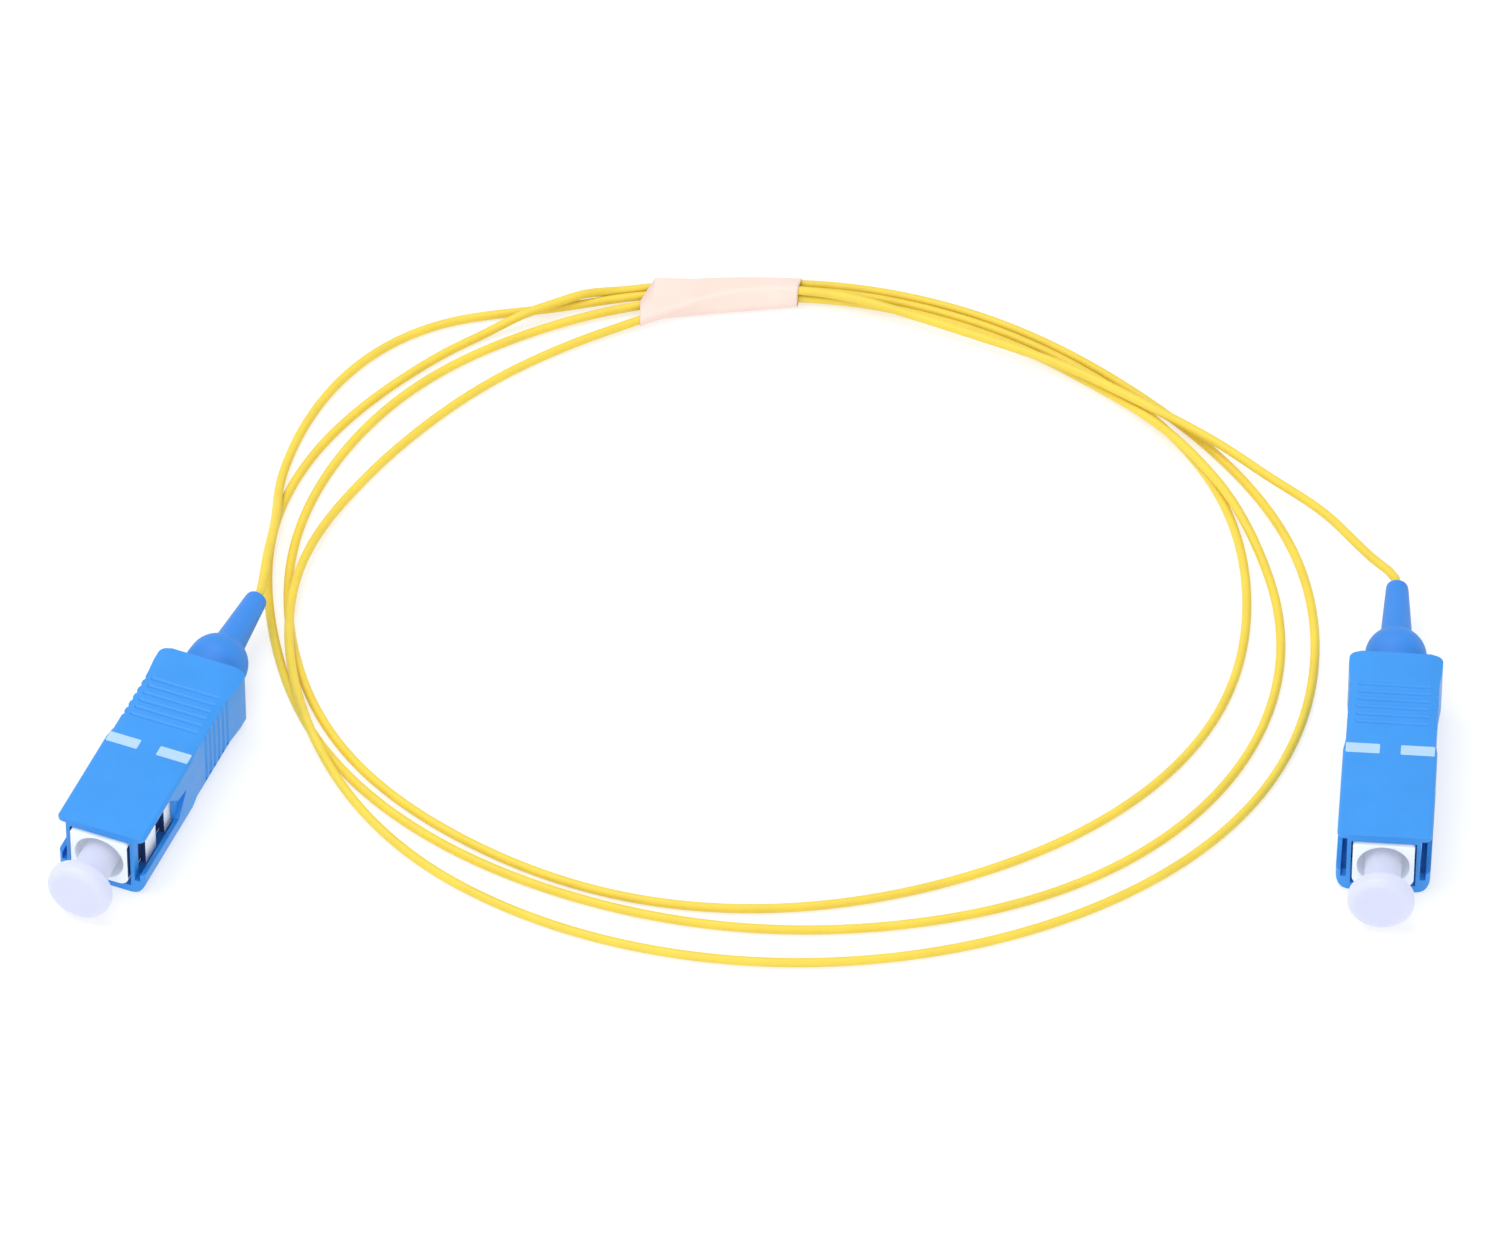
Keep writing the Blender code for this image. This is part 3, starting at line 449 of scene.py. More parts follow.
def add_box(bm, low, high):
    """Adds a box between two corners, in millimetres."""
    low, high = Vector(low) * MM, Vector(high) * MM
    size = Matrix.Diagonal((*(high - low), 1.0))
    return bmesh.ops.create_cube(bm, size=1.0, matrix=Matrix.Translation((low + high) / 2) @ size)["verts"]


def add_prism(bm, corners, move):
    """Adds the flat face through the corners, carried along by move, all in millimetres."""
    face = bm.faces.new([bm.verts.new(Vector(corner) * MM) for corner in corners])
    raised = bmesh.ops.extrude_face_region(bm, geom=[face])["geom"]
    far = [item for item in raised if isinstance(item, bmesh.types.BMVert)]
    bmesh.ops.translate(bm, verts=far, vec=Vector(move) * MM)
    bmesh.ops.recalc_face_normals(bm, faces=bm.faces[:])


def round_edges(bm, edges, radius, segments):
    bmesh.ops.bevel(
        bm, geom=edges, offset=radius * MM, segments=segments, profile=0.5, affect="EDGES", material=-1
    )


def edges_along(bm, axis, test):
    """The edges that run along one axis and whose middle passes a test, given it in millimetres."""
    found = []
    for edge in bm.edges:
        across = edge.verts[1].co - edge.verts[0].co
        if abs(across[axis]) > 0.99 * across.length and test((edge.verts[0].co + edge.verts[1].co) / 2 / MM):
            found.append(edge)
    return found


def cut_away(obj, cutters):
    """Cuts each cutter out of the piece, and leaves the piece with the finished mesh and no modifiers."""
    for cutter in cutters:
        modifier = obj.modifiers.new(cutter.name, "BOOLEAN")
        modifier.operation = "DIFFERENCE"
        modifier.solver = "EXACT"
        modifier.object = cutter
    settle(obj)
    for cutter in cutters:
        bpy.data.objects.remove(cutter, do_unlink=True)


def settle(obj):
    """Turns the piece's modifiers into its own mesh and dissolves the flat triangles."""
    bpy.context.view_layer.update()
    done = obj.evaluated_get(bpy.context.evaluated_depsgraph_get())
    bm = bmesh.new()
    bm.from_mesh(done.to_mesh())
    done.to_mesh_clear()
    obj.modifiers.clear()
    bmesh.ops.remove_doubles(bm, verts=bm.verts[:], dist=WELD)
    bmesh.ops.dissolve_limit(bm, angle_limit=FLAT_WITHIN, verts=bm.verts[:], edges=bm.edges[:])
    bm.to_mesh(obj.data)
    bm.free()


def cutter_from(boxes=(), prisms=()):
    bm = bmesh.new()
    for low, high in boxes:
        add_box(bm, low, high)
    for corners, move in prisms:
        add_prism(bm, corners, move)
    return new_piece("cutter", bm)


def soften(obj, width, angle=32.0, segments=2):
    """A live Bevel on every edge sharper than the angle, with flat faces kept flat."""
    obj.data.shade_smooth()
    modifier = obj.modifiers.new("moulded edge", "BEVEL")
    modifier.width = width * MM
    modifier.segments = segments
    modifier.limit_method = "ANGLE"
    modifier.angle_limit = math.radians(angle)
    modifier.harden_normals = True


def lay(obj, tag, body, finish, slot, *nodes):
    """Moves a finished plug piece to its plug, paints it and hangs it on its body."""
    obj.name = obj.data.name = f"{obj.name}_{tag}"
    obj.data.transform(place_of(tag))
    if finish:
        obj.data.materials.append(finish)
    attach(obj, body)
    if nodes:
        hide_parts(*nodes)
    return obj


# %% [markdown]
# Round pieces are turned, as on a lathe: one profile of radii is spun all the way round the plug's
# axis, and the points that lie on the axis are merged. A cylinder for each step would leave seams.

# %% Turned pieces
def turned(name, profile, steps=64):
    """A piece turned about the plug's axis: the profile runs from mating face to back as (radius, y)."""
    bm = bmesh.new()
    verts = [bm.verts.new((radius * MM, y * MM, AXIS_HEIGHT)) for radius, y in profile]
    for first, second in zip(verts, verts[1:]):
        bm.edges.new((first, second))
    bmesh.ops.spin(
        bm,
        geom=bm.verts[:] + bm.edges[:],
        cent=(0.0, 0.0, AXIS_HEIGHT),
        axis=(0.0, 1.0, 0.0),
        angle=math.tau,
        steps=steps,
        use_merge=True,
    )
    bmesh.ops.remove_doubles(bm, verts=bm.verts[:], dist=SEAM)
    bmesh.ops.recalc_face_normals(bm, faces=bm.faces[:])
    obj = new_piece(name, bm)
    obj.data.shade_smooth()
    obj.data.set_sharp_from_angle(angle=SHARP_FROM)
    return obj


def arc(radius_at, y_at, size, start, end, steps=6):
    """Points of a rounded corner in a turned piece's profile, from one angle to another, in degrees."""
    turns = [math.radians(start + (end - start) * i / steps) for i in range(steps + 1)]
    return [(radius_at + size * math.cos(t), y_at + size * math.sin(t)) for t in turns]


print("helpers ready")

# %% [markdown]
# ## The grip
#
# The blue housing slides on the plug frame. It is a square tube with a roof, a floor and two thin
# flanks. Each flank has a latch slot that ends in a point, and fingers hold the fluted rear half,
# which is drawn in a little at both flanks and slopes down along its two shoulders. It could be
# built face by face, but cutting openings from a rounded bar follows how the part reads: one block
# with things taken out of it.

# %% Shape the grip
GRIP_LENGTH, GRIP_WIDTH, GRIP_HEIGHT = 24.5, 9.0, 7.4
GRIP_ROOF, GRIP_SIDE = 0.85, 0.45
ROOF_ROUNDING, BASE_ROUNDING = 0.4, 1.5
FRONT_CORNER, REAR_CORNER = 0.7, 0.6
WAIST_AT, WAIST_STEP, WAIST_DEPTH = 11.6, 1.4, 0.2
WAIST_END, WAIST_FLARE = 20.9, 2.0
SHOULDER_WIDTH, SHOULDER_DROP = 1.2, 0.4
RIB_WIDTH, RIB_DEPTH = 0.4, 1.0
SLOT_LENGTH, SLOT_SILL, SLOT_TOP, SLOT_TIP, SLOT_SKIN = 8.2, 2.5, 5.1, (10.1, 4.8), 0.5
WINDOW_TOP, WINDOW_SLOPE = 6.9, 6.3
FRAME_WIDTH, EAR_WIDTH = 5.9, 7.0
SLIDE_GAP = 0.15
PAST = 1.0


def grip_bar():
    bm = bmesh.new()
    half = GRIP_WIDTH / 2
    add_box(bm, (-half, 0.0, 0.0), (half, GRIP_LENGTH, GRIP_HEIGHT))
    round_edges(bm, edges_along(bm, 1, lambda p: p.z > GRIP_HEIGHT / 2), ROOF_ROUNDING, 5)
    round_edges(bm, edges_along(bm, 1, lambda p: p.z < GRIP_HEIGHT / 2), BASE_ROUNDING, 8)
    for y in (WAIST_AT, WAIST_AT + WAIST_STEP, WAIST_END, WAIST_END + WAIST_FLARE):
        everything = bm.verts[:] + bm.edges[:] + bm.faces[:]
        bmesh.ops.bisect_plane(bm, geom=everything, plane_co=(0.0, y * MM, 0.0), plane_no=(0.0, 1.0, 0.0))
    for vert in bm.verts:
        if WAIST_AT + WAIST_STEP / 2 < vert.co.y / MM < WAIST_END + WAIST_FLARE / 2:
            vert.co.x *= 1.0 - WAIST_DEPTH / half
    return new_piece("grip", bm)


def corner_cutter(steps=6):
    """Rounds the four upright corners."""
    prisms = []
    past = GRIP_WIDTH / 2 + PAST
    for radius, end, out in ((FRONT_CORNER, 0.0, -1), (REAR_CORNER, GRIP_LENGTH, 1)):
        middle = GRIP_WIDTH / 2 - radius
        outline = [(past, end - out * radius)]
        for index in range(steps + 1):
            turn = math.pi / 2 * index / steps
            outline.append((middle + radius * math.cos(turn), end - out * radius * (1.0 - math.sin(turn))))
        outline += [(middle, end + out * PAST), (past, end + out * PAST)]
        for side in (-1, 1):
            prisms.append(([(side * x, y, -PAST) for x, y in outline], (0.0, 0.0, GRIP_HEIGHT + 2 * PAST)))
    return cutter_from(prisms=prisms)


def shoulder_cutter():
    """Slopes the roof's two long edges where fingers hold the grip, easing in at the waist."""
    bm = bmesh.new()
    steepness = SHOULDER_DROP / SHOULDER_WIDTH
    far, above = GRIP_WIDTH / 2 + PAST, GRIP_HEIGHT + PAST
    for side in (-1, 1):
        rings = []
        for y, lift in ((WAIST_AT, SHOULDER_DROP), (WAIST_AT + WAIST_STEP, 0.0), (GRIP_LENGTH + PAST, 0.0)):
            low = GRIP_HEIGHT + lift - steepness * (SHOULDER_WIDTH + PAST)
            near = GRIP_WIDTH / 2 - SHOULDER_WIDTH - (PAST - lift) / steepness
            corners = ((far, above), (far, low), (near, above))
            rings.append([bm.verts.new((side * x * MM, y * MM, z * MM)) for x, z in corners])
        for one, other in zip(rings, rings[1:]):
            for index in range(3):
                after = (index + 1) % 3
                bm.faces.new((one[index], one[after], other[after], other[index]))
        bm.faces.new(rings[0])
        bm.faces.new(rings[-1])
    bmesh.ops.recalc_face_normals(bm, faces=bm.faces[:])
    return new_piece("cutter", bm)


def grip_openings():
    low, high = GRIP_ROOF, GRIP_HEIGHT - GRIP_ROOF
    wall = GRIP_WIDTH / 2 - GRIP_SIDE
    channel = EAR_WIDTH / 2 + SLIDE_GAP
    mouth = FRAME_WIDTH / 2 + SLIDE_GAP
    rib = mouth + RIB_WIDTH
    cutters = [
        cutter_from([((-wall, RIB_DEPTH, low), (wall, SLOT_LENGTH, high))]),
        cutter_from([((-channel, SLOT_LENGTH - PAST, low), (channel, GRIP_LENGTH + PAST, high))]),
        cutter_from([((-mouth, -PAST, low), (mouth, RIB_DEPTH + PAST, high))]),
    ]
    gap = [((rib, -2 * PAST, 2 * low), (wall, RIB_DEPTH + PAST, SLOT_SILL + PAST))]
    gap.append(((-wall, -2 * PAST, 2 * low), (-rib, RIB_DEPTH + PAST, SLOT_SILL + PAST)))
    cutters.append(cutter_from(gap))
    window = [(-PAST, SLOT_SILL), (SLOT_LENGTH, SLOT_SILL), (SLOT_LENGTH, SLOT_TOP)]
    window += [(WINDOW_SLOPE, WINDOW_TOP), (-PAST, WINDOW_TOP)]
    point = [(SLOT_LENGTH - PAST, SLOT_SILL), (SLOT_LENGTH, SLOT_SILL), SLOT_TIP]
    point += [(SLOT_LENGTH, SLOT_TOP), (SLOT_LENGTH - PAST, SLOT_TOP)]
    for outline, near in ((window, rib), (point, GRIP_WIDTH / 2 - SLOT_SKIN)):
        reach = GRIP_WIDTH / 2 + PAST - near
        sides = [([(side * near, y, z) for y, z in outline], (side * reach, 0.0, 0.0)) for side in (-1, 1)]
        cutters.append(cutter_from(prisms=sides))
    return cutters


# %% [markdown]
# The six grooves on top are shallow and soft, so each cutter is a bar with a rounded underside. The
# flutes are the same bars stood upright along the flanks, and they run out through the roof's edge,
# which makes that edge wavy.

# %% Grooves and flutes
GROOVE_COUNT, GROOVE_PITCH, GROOVES_FROM_REAR, GROOVE_REACH = 6, 1.0, 4.35, 7.0
GROOVE_DEPTH, FLUTE_DEPTH, FLUTE_START, GROOVE_HALF = 0.13, 0.16, 1.2, 0.3
GROOVE_SHAPE = ((-GROOVE_HALF, 0.0), (-0.2, 0.6), (-0.08, 1.0), (0.08, 1.0), (0.2, 0.6), (GROOVE_HALF, 0.0))


def groove_cutter():
    prisms = []
    waist = GRIP_WIDTH / 2 - WAIST_DEPTH
    for index in range(GROOVE_COUNT):
        middle = GRIP_LENGTH - GROOVES_FROM_REAR - index * GROOVE_PITCH
        for face, out in ((0.0, -1), (GRIP_HEIGHT, 1)):
            outline = [(middle + y, face - out * GROOVE_DEPTH * depth) for y, depth in GROOVE_SHAPE]
            above = face + out * PAST
            outline += [(middle + GROOVE_HALF, above), (middle - GROOVE_HALF, above)]
            prisms.append(([(-GROOVE_REACH / 2, y, z) for y, z in outline], (GROOVE_REACH, 0.0, 0.0)))
        for side in (-1, 1):
            outline = [(side * (waist - FLUTE_DEPTH * depth), middle + y) for y, depth in GROOVE_SHAPE]
            beyond = side * (waist + PAST)
            outline += [(beyond, middle + GROOVE_HALF), (beyond, middle - GROOVE_HALF)]
            prisms.append(([(x, y, FLUTE_START) for x, y in outline], (0.0, 0.0, GRIP_HEIGHT)))
    return cutter_from(prisms=prisms)


for tag in PLUG_PLACES:
    grip = grip_bar()
    cut_away(grip, [corner_cutter(), shoulder_cutter(), *grip_openings(), groove_cutter()])
    soften(grip, 0.07)
    lay(grip, tag, f"grip_{tag}", grip_plastic, "grip", f"grip_{tag}")
    print(grip.name, len(grip.data.polygons), "faces")

# %% [markdown]
# ## The white marks
#
# Two short white bars are printed on the roof where the grip's plain front half ends. A real mark
# is a film of ink a few hundredths of a millimetre thick, so it is a thin slab with rounded corners
# that lies on the roof, not a decal.

# %% Print the marks
MARK_LENGTH, MARK_WIDTH, MARK_GAP, MARK_AT, MARK_CORNER, INK = 3.25, 1.25, 2.0, 11.55, 0.12, 0.03


def mark():
    bm = bmesh.new()
    for side in (-1, 1):
        near, far = sorted((side * MARK_GAP / 2, side * (MARK_GAP / 2 + MARK_LENGTH)))
        add_box(
            bm,
            (near, MARK_AT - MARK_WIDTH / 2, GRIP_HEIGHT - INK),
            (far, MARK_AT + MARK_WIDTH / 2, GRIP_HEIGHT + INK / 3),
        )
    round_edges(bm, edges_along(bm, 2, lambda p: True), MARK_CORNER, 3)
    return new_piece("mark", bm)


for tag in PLUG_PLACES:
    lay(mark(), tag, f"grip_{tag}", mark_paint, "frame")
print("marks:", MARK_LENGTH, "by", MARK_WIDTH, "mm")

# %% [markdown]
# ## The plug frame
#
# The white body inside the grip carries the ferrule. A socket's latches hook behind the ears on its
# flanks. Its mouth is a round bore, and its two lower edges are rounded more than the upper ones.
# Hardly any light reaches the gaps between the ears, so shade is painted on the faces there with a dark
# material.

# %% Shape the frame
FRAME_LENGTH, FRAME_PROUD = 19.5, 0.3
FRAME_ROOF_ROUNDING, FRAME_BASE_ROUNDING = 0.3, 1.0
EAR_HEIGHT, EAR_LENGTH, EAR_GAP = 4.4, 2.4, 1.9
GRIP_TRAVEL = 1.5
MOUTH_RADIUS, MOUTH_DEPTH, WEB_DEPTH = 2.5, 6.2, 1.2
FERRULE_RADIUS, FIT_GAP = 1.25, 0.2
FLANGE_RADIUS, FLANGE_LENGTH = 2.1, 2.0


def frame_bar():
    bm = bmesh.new()
    half = FRAME_WIDTH / 2
    low, high = GRIP_ROOF + SLIDE_GAP, GRIP_HEIGHT - GRIP_ROOF - SLIDE_GAP
    add_box(bm, (-half, -FRAME_PROUD, low), (half, FRAME_LENGTH, high))
    round_edges(bm, edges_along(bm, 1, lambda p: p.z > GRIP_HEIGHT / 2), FRAME_ROOF_ROUNDING, 4)
    round_edges(bm, edges_along(bm, 1, lambda p: p.z < GRIP_HEIGHT / 2), FRAME_BASE_ROUNDING, 6)
    return new_piece("plug_frame", bm)


def ears():
    low, high = (GRIP_HEIGHT - EAR_HEIGHT) / 2, (GRIP_HEIGHT + EAR_HEIGHT) / 2
    first = RIB_DEPTH + GRIP_TRAVEL + SLIDE_GAP
    second = first + EAR_LENGTH + EAR_GAP
    half = EAR_WIDTH / 2
    bm = bmesh.new()
    add_box(bm, (-half, first, low), (half, first + EAR_LENGTH, high))
    add_box(bm, (-half, second, low), (half, FRAME_LENGTH - PAST, high))
    return new_piece("ears", bm)


def frame_bore():
    web = MOUTH_DEPTH + WEB_DEPTH
    shaft, seat = FERRULE_RADIUS + FIT_GAP, FLANGE_RADIUS + FIT_GAP
    profile = [(0.0, -PAST), (MOUTH_RADIUS, -PAST), (MOUTH_RADIUS, MOUTH_DEPTH), (shaft, MOUTH_DEPTH)]
    profile += [(shaft, web), (seat, web), (seat, FRAME_LENGTH + PAST), (0.0, FRAME_LENGTH + PAST)]
    return turned("bore", profile)


def shade_gaps(mesh):
    """Paints shade on the faces deep between the ears, where hardly any light comes, with the second, dark
    material.
    """
    mesh.materials.append(frame_plastic)
    mesh.materials.append(painted_slot_shade)
    first = RIB_DEPTH + GRIP_TRAVEL + SLIDE_GAP
    shaded = 0
    for face in mesh.polygons:
        x, y, _ = face.center / MM
        beside = abs(x) > FRAME_WIDTH / 2 - 0.01
        if beside and face.normal.y < -0.9 and y > 0.0:
            face.material_index = 1
        elif beside and abs(face.normal.x) > 0.9 and abs(x) < EAR_WIDTH / 2 - 0.1:
            face.material_index = 1
        shaded += face.material_index
    return shaded


for tag in PLUG_PLACES:
    plug_frame = frame_bar()
    ear_pair = ears()
    modifier = plug_frame.modifiers.new("ears", "BOOLEAN")
    modifier.operation = "UNION"
    modifier.solver = "EXACT"
    modifier.object = ear_pair
    settle(plug_frame)
    bpy.data.objects.remove(ear_pair, do_unlink=True)
    cut_away(plug_frame, [frame_bore()])
    shaded = shade_gaps(plug_frame.data)
    soften(plug_frame, 0.06)
    lay(plug_frame, tag, "cord", None, "frame", f"plug_frame_{tag}")
    print(plug_frame.name, len(plug_frame.data.polygons), "faces,", shaded, "of them deep in the slots")

# %% [markdown]
# ## Ferrule and rear body
#
# These are turned pieces, so each is one profile spun about the plug's axis. The ferrule's chamfered
# tip has the tiny hole that holds the fibre. The metal sleeve behind it has the fine grooves that
# the boot grips.

# %% Turn them
FERRULE_TIP, FIBRE_HOLE, TIP_ROUNDING, TIP_RADIUS = 1.2, 0.0625, 0.3, 0.95
TAIL_RADIUS, TAIL_LENGTH = 1.0, 2.5
SLEEVE_RADIUS, SLEEVE_WAIST, SLEEVE_BORE, SLEEVE_INSIDE, SLEEVE_OUTSIDE = 2.0, 1.9, 0.65, 5.5, 4.3
RING_COUNT, RING_PITCH = 6, 0.5


def ferrule_profile():
    tip = -FRAME_PROUD - FERRULE_TIP
    flange = MOUTH_DEPTH + WEB_DEPTH + FIT_GAP
    back = flange + FLANGE_LENGTH
    profile = [(0.0, tip + 0.1), (FIBRE_HOLE, tip + 0.1), (FIBRE_HOLE, tip), (TIP_RADIUS, tip)]
    profile += arc(TIP_RADIUS, tip + TIP_ROUNDING, TIP_ROUNDING, -90.0, 0.0, 4)[1:]
    profile += [(FERRULE_RADIUS, flange), (FLANGE_RADIUS - 0.15, flange), (FLANGE_RADIUS, flange + 0.15)]
    profile += [(FLANGE_RADIUS, back - 0.15), (FLANGE_RADIUS - 0.15, back), (TAIL_RADIUS, back)]
    profile += [(TAIL_RADIUS, back + TAIL_LENGTH - 0.1), (TAIL_RADIUS - 0.1, back + TAIL_LENGTH)]
    return profile + [(0.0, back + TAIL_LENGTH)]


def sleeve_profile():
    start, end = FRAME_LENGTH - SLEEVE_INSIDE, FRAME_LENGTH + SLEEVE_OUTSIDE
    profile = [(SLEEVE_BORE, start), (SLEEVE_WAIST, start), (SLEEVE_RADIUS, start + 0.1)]
    profile.append((SLEEVE_RADIUS, FRAME_LENGTH + 0.9))
    for index in range(RING_COUNT):
        ring = FRAME_LENGTH + 1.0 + index * RING_PITCH
        profile += [(SLEEVE_WAIST, ring), (SLEEVE_WAIST, ring + 0.15)]
        profile += [(SLEEVE_RADIUS, ring + 0.25), (SLEEVE_RADIUS, ring + 0.4)]
    profile += [(SLEEVE_RADIUS, end - 0.1), (SLEEVE_WAIST, end), (SLEEVE_BORE, end)]
    return profile + [(SLEEVE_BORE, start)]


for tag in PLUG_PLACES:
    ferrule = turned("ferrule", ferrule_profile(), steps=48)
    lay(ferrule, tag, f"ferrule_{tag}", ferrule_ceramic, "ferrule", f"ferrule_{tag}")
    sleeve = turned("rear_body", sleeve_profile(), steps=48)
    lay(sleeve, tag, "cord", sleeve_metal, "metal", f"rear_body_{tag}")
    print(ferrule.name, len(ferrule.data.polygons), "faces,", sleeve.name, len(sleeve.data.polygons), "faces")

# %% [markdown]
# ## The boot
#
# The boot is soft, so it bends with the cord where it leaves the plug. Its oval base fills the back
# of the grip, a dome closes it, and a long round taper runs down to the cord, which comes out of a
# small hole with a rounded lip.

# %% Turn the boot
BOOT_BASE_RADIUS, BOOT_SPREAD = 2.65, 0.12
BOOT_DOME_RADIUS, BOOT_DOME_AT, BOOT_NECK_RADIUS = 3.0, 27.5, 1.55
BOOT_TIP_RADIUS, BOOT_LIP = 1.07, 0.35


def boot_profile():
    base = FRAME_LENGTH + 0.3
    bore, depth = 2.2, base + 4.2
    first = -math.degrees(math.acos(BOOT_BASE_RADIUS / BOOT_DOME_RADIUS))
    last = math.degrees(math.acos(BOOT_NECK_RADIUS / BOOT_DOME_RADIUS))
    neck_at = BOOT_DOME_AT + BOOT_DOME_RADIUS * math.sin(math.radians(last))
    profile = [(0.0, depth), (bore, depth), (bore, base), (BOOT_BASE_RADIUS - 0.1, base)]
    profile.append((BOOT_BASE_RADIUS, base + 0.1))
    profile += arc(0.0, BOOT_DOME_AT, BOOT_DOME_RADIUS, first, last - 4.0, 18)
    profile += [(BOOT_NECK_RADIUS + 0.07, neck_at + 0.05), (BOOT_NECK_RADIUS - 0.02, neck_at + 0.35)]
    profile.append((BOOT_TIP_RADIUS + 0.04, BOOT_TIP - 0.6))
    profile += arc(BOOT_TIP_RADIUS - BOOT_LIP, BOOT_TIP - BOOT_LIP, BOOT_LIP, 0.0, 90.0, 7)
    profile += [(0.56, BOOT_TIP), (0.5, BOOT_TIP - 0.1), (0.5, BOOT_TIP - 0.3)]
    return profile + [(0.0, BOOT_TIP - 0.3)]


for tag in PLUG_PLACES:
    boot = turned("boot", boot_profile())
    dome_start = math.sqrt(BOOT_DOME_RADIUS**2 - BOOT_BASE_RADIUS**2)
    for vert in boot.data.vertices:
        oval = (BOOT_DOME_AT - vert.co.y / MM) / dome_start
        vert.co.x *= 1.0 + BOOT_SPREAD * min(max(oval, 0.0), 1.0)
        vert.co.x += BOOT_LEANS[tag] * max(vert.co.y - BOOT_BENDS_AT, 0.0)
    lay(boot, tag, "cord", boot_rubber, "boot", f"boot_{tag}")
print("boot reaches", BOOT_TIP, "mm behind the mating face")

# %% [markdown]
# ## The dust cap
#
# A mushroom of soft milky plastic keeps dust off the ferrule. Its head has well rounded edges and
# its stem is hollow, so it slips over the ferrule. It is turned like the pieces before it, because
# a sphere and a cylinder joined together would leave a hard line under the head.

# %% Turn the cap
CAP_RADIUS, CAP_DEPTH, CAP_EDGE = 3.2, 2.0, 0.75
CAP_FRONT, CAP_STEM_RADIUS, CAP_STEM_END = -5.7, 1.75, 5.0


def cap_profile():
    back = CAP_FRONT + CAP_DEPTH
    bore, bottom = FERRULE_RADIUS + FIT_GAP, -FRAME_PROUD - 1.5
    profile = [(0.0, CAP_FRONT)]
    profile += arc(CAP_RADIUS - CAP_EDGE, CAP_FRONT + CAP_EDGE, CAP_EDGE, -90.0, 0.0, 8)
    profile += arc(CAP_RADIUS - CAP_EDGE, back - CAP_EDGE, CAP_EDGE, 0.0, 90.0, 8)
    profile += [(CAP_STEM_RADIUS + 0.2, back), (CAP_STEM_RADIUS + 0.06, back + 0.06)]
    profile += [(CAP_STEM_RADIUS, back + 0.2), (CAP_STEM_RADIUS, CAP_STEM_END - 0.15)]
    profile += [(CAP_STEM_RADIUS - 0.1, CAP_STEM_END), (bore + 0.08, CAP_STEM_END)]
    profile.append((bore, CAP_STEM_END - 0.1))
    return profile + [(bore, bottom), (0.0, bottom)]


for tag in PLUG_PLACES:
    cap = turned("dust_cap", cap_profile())
    lay(cap, tag, f"dust_cap_{tag}", cap_plastic, "cap", f"dust_cap_{tag}")
    print(cap.name, len(cap.data.polygons), "faces")

# %% [markdown]
# ## The tape
#
# One strip of pale tape holds the four strands at the back of the coil. It was wound once round
# them, so its section is the outline of a rubber band round four circles. It is stiffer than a
# rubber band, so its long edges stay straight where the strands draw closer together. Each section
# goes round in a slow spiral, so the end of the strip overlaps its start at the back. Joining the
# sections, trimming the two slanted ends and thickening the sheet gives the tape. A cloth
# simulation would give the same thing less predictably.

# %% Wind the tape
TAPE_LEFT_END = ((-14.45, 30.0), (-14.45, 40.3), (-10.1, 50.3))
TAPE_RIGHT_END = ((-0.48, 30.0), (2.44, 50.0))
TAPE_EDGES = ((-14.45, 39.2, 43.55), (-12.75, 39.35, 43.45), (-6.9, 40.15, 43.25), (1.4, 41.1, 42.35))
TAPED_ROW = TAPE_WALL + TAPE_GAP + CORD_RADIUS
TAPE_ROOM, TAPE_PITCH, TAPE_FILM, TAPE_SPARE = 0.5, 0.12, 0.08, 0.5 * MM
TAPE_FROM, TAPE_TO = -50.0, 375.0


def strands_at(x):
    """(y, z) of each strand, in metres, where the cord crosses the plane x at the back of the coil."""
    found = []
    for a, b in zip(cord_points, cord_points[1:]):
        if (a[0] - x) * (b[0] - x) < 0 and a[1] > LOOP_CENTRE[1]:
            found.append(a[1:] + (x - a[0]) / (b[0] - a[0]) * (b[1:] - a[1:]))
    return np.array(found)


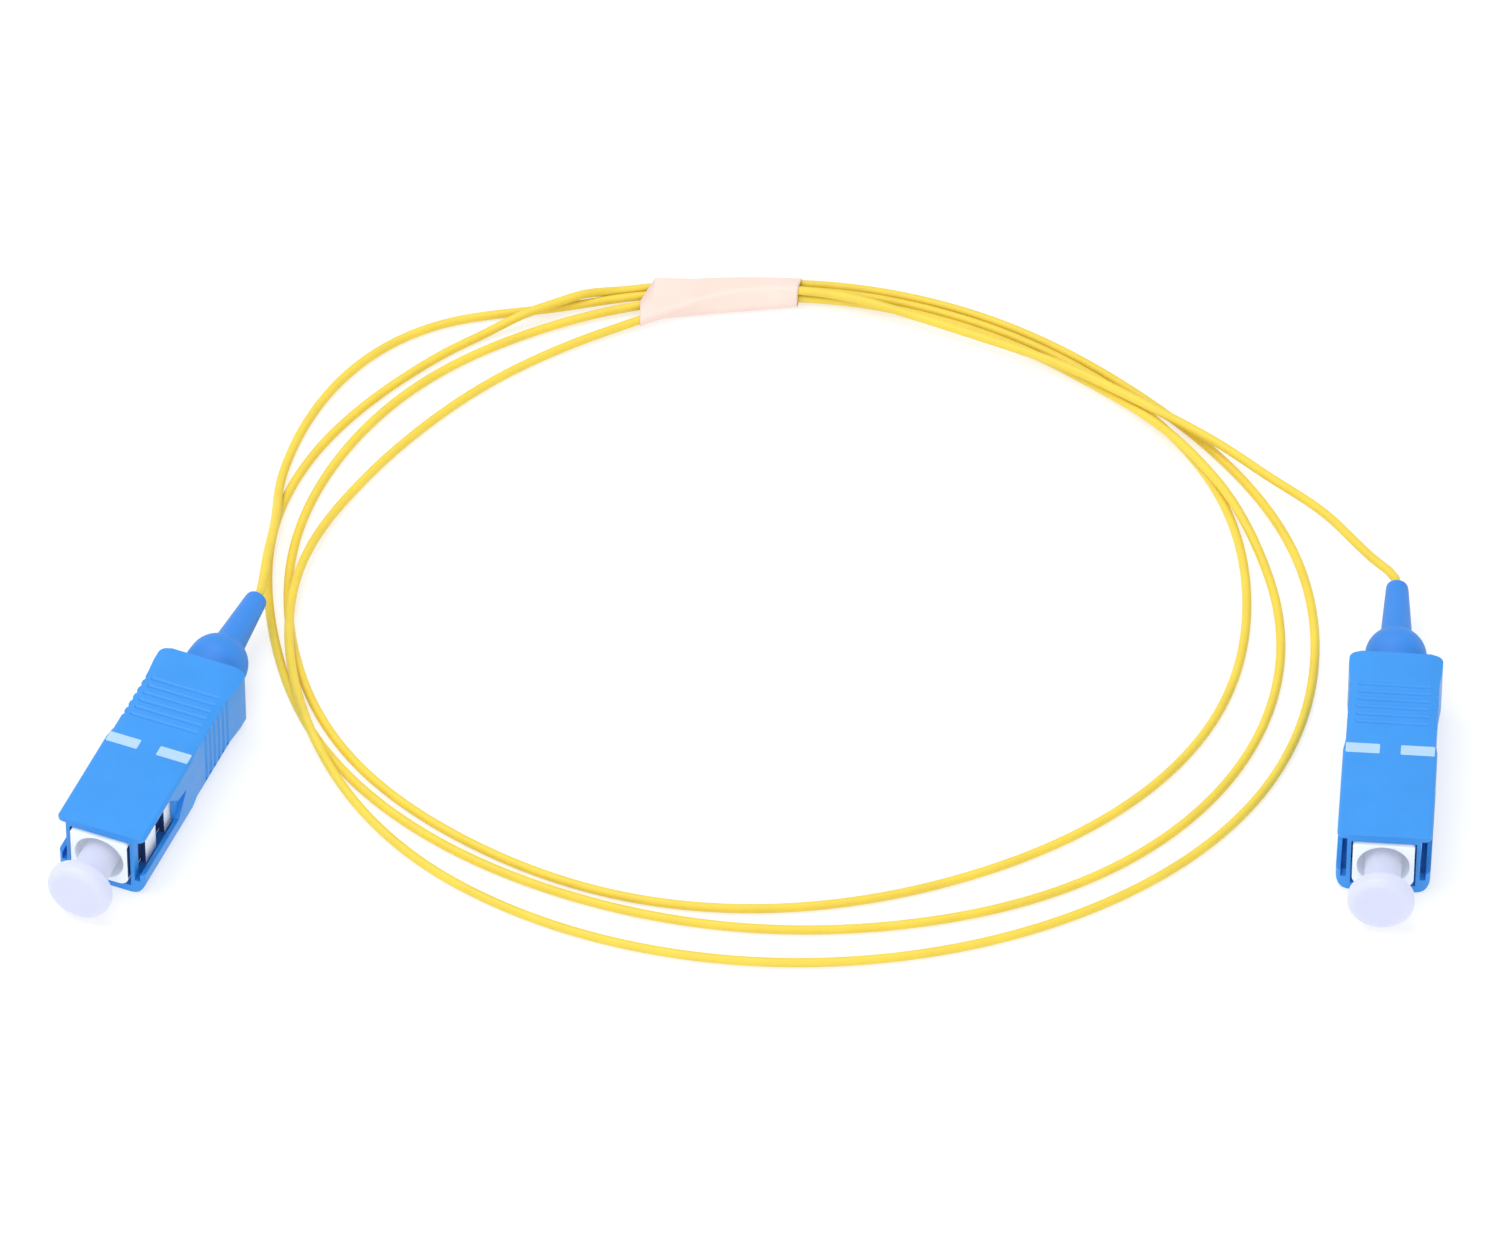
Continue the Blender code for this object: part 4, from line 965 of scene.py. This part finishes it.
def flat_edges(x):
    """(y, z) of the two places that hold the tape's long edges out, in the plane x."""
    along, *edges = (np.array(column) * MM for column in zip(*TAPE_EDGES))
    return [(LOOP_CENTRE[1] + np.interp(x - LOOP_CENTRE[0], along, edge), TAPED_ROW) for edge in edges]


def tape_section(x, steps=72):
    strands = np.concatenate([strands_at(x), flat_edges(x)])
    section = []
    for index in range(steps + 1):
        degrees = TAPE_FROM + (TAPE_TO - TAPE_FROM) * index / steps
        out = np.array((math.cos(math.radians(degrees)), math.sin(math.radians(degrees))))
        room = TAPE_ROOM + TAPE_PITCH * (degrees - TAPE_FROM) / 360.0
        section.append(strands[np.argmax(strands @ out)] + out * room * MM)
    return section


def wind_tape(rings=44):
    bm = bmesh.new()
    start, end = (LOOP_CENTRE[0] + x * MM for x in (TAPE_LEFT_END[0][0], TAPE_RIGHT_END[1][0]))
    rows = [
        [bm.verts.new((x, *place)) for place in tape_section(x)]
        for x in np.linspace(start - TAPE_SPARE, end + TAPE_SPARE, rings)
    ]
    for one, other in zip(rows, rows[1:]):
        for index in range(len(one) - 1):
            bm.faces.new((one[index], one[index + 1], other[index + 1], other[index]))
    for points, side in ((TAPE_LEFT_END, -1), (TAPE_RIGHT_END, 1)):
        for (x0, y0), (x1, y1) in zip(points, points[1:]):
            bmesh.ops.bisect_plane(
                bm,
                geom=bm.verts[:] + bm.edges[:] + bm.faces[:],
                plane_co=(LOOP_CENTRE[0] + x1 * MM, LOOP_CENTRE[1] + y1 * MM, 0.0),
                plane_no=(side * (y1 - y0), side * (x0 - x1), 0.0),
                clear_outer=True,
            )
    bmesh.ops.recalc_face_normals(bm, faces=bm.faces[:])
    return new_piece("tape_strip", bm)


tape_strip = wind_tape()
tape_strip.data.shade_smooth()
modifier = tape_strip.modifiers.new("thickness", "SOLIDIFY")
modifier.thickness = TAPE_FILM * MM
modifier.offset = 0.0
tape_strip.data.materials.append(tape_paper)
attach(tape_strip, "cord")
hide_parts("tape")
print("tape:", len(tape_strip.data.polygons), "faces")
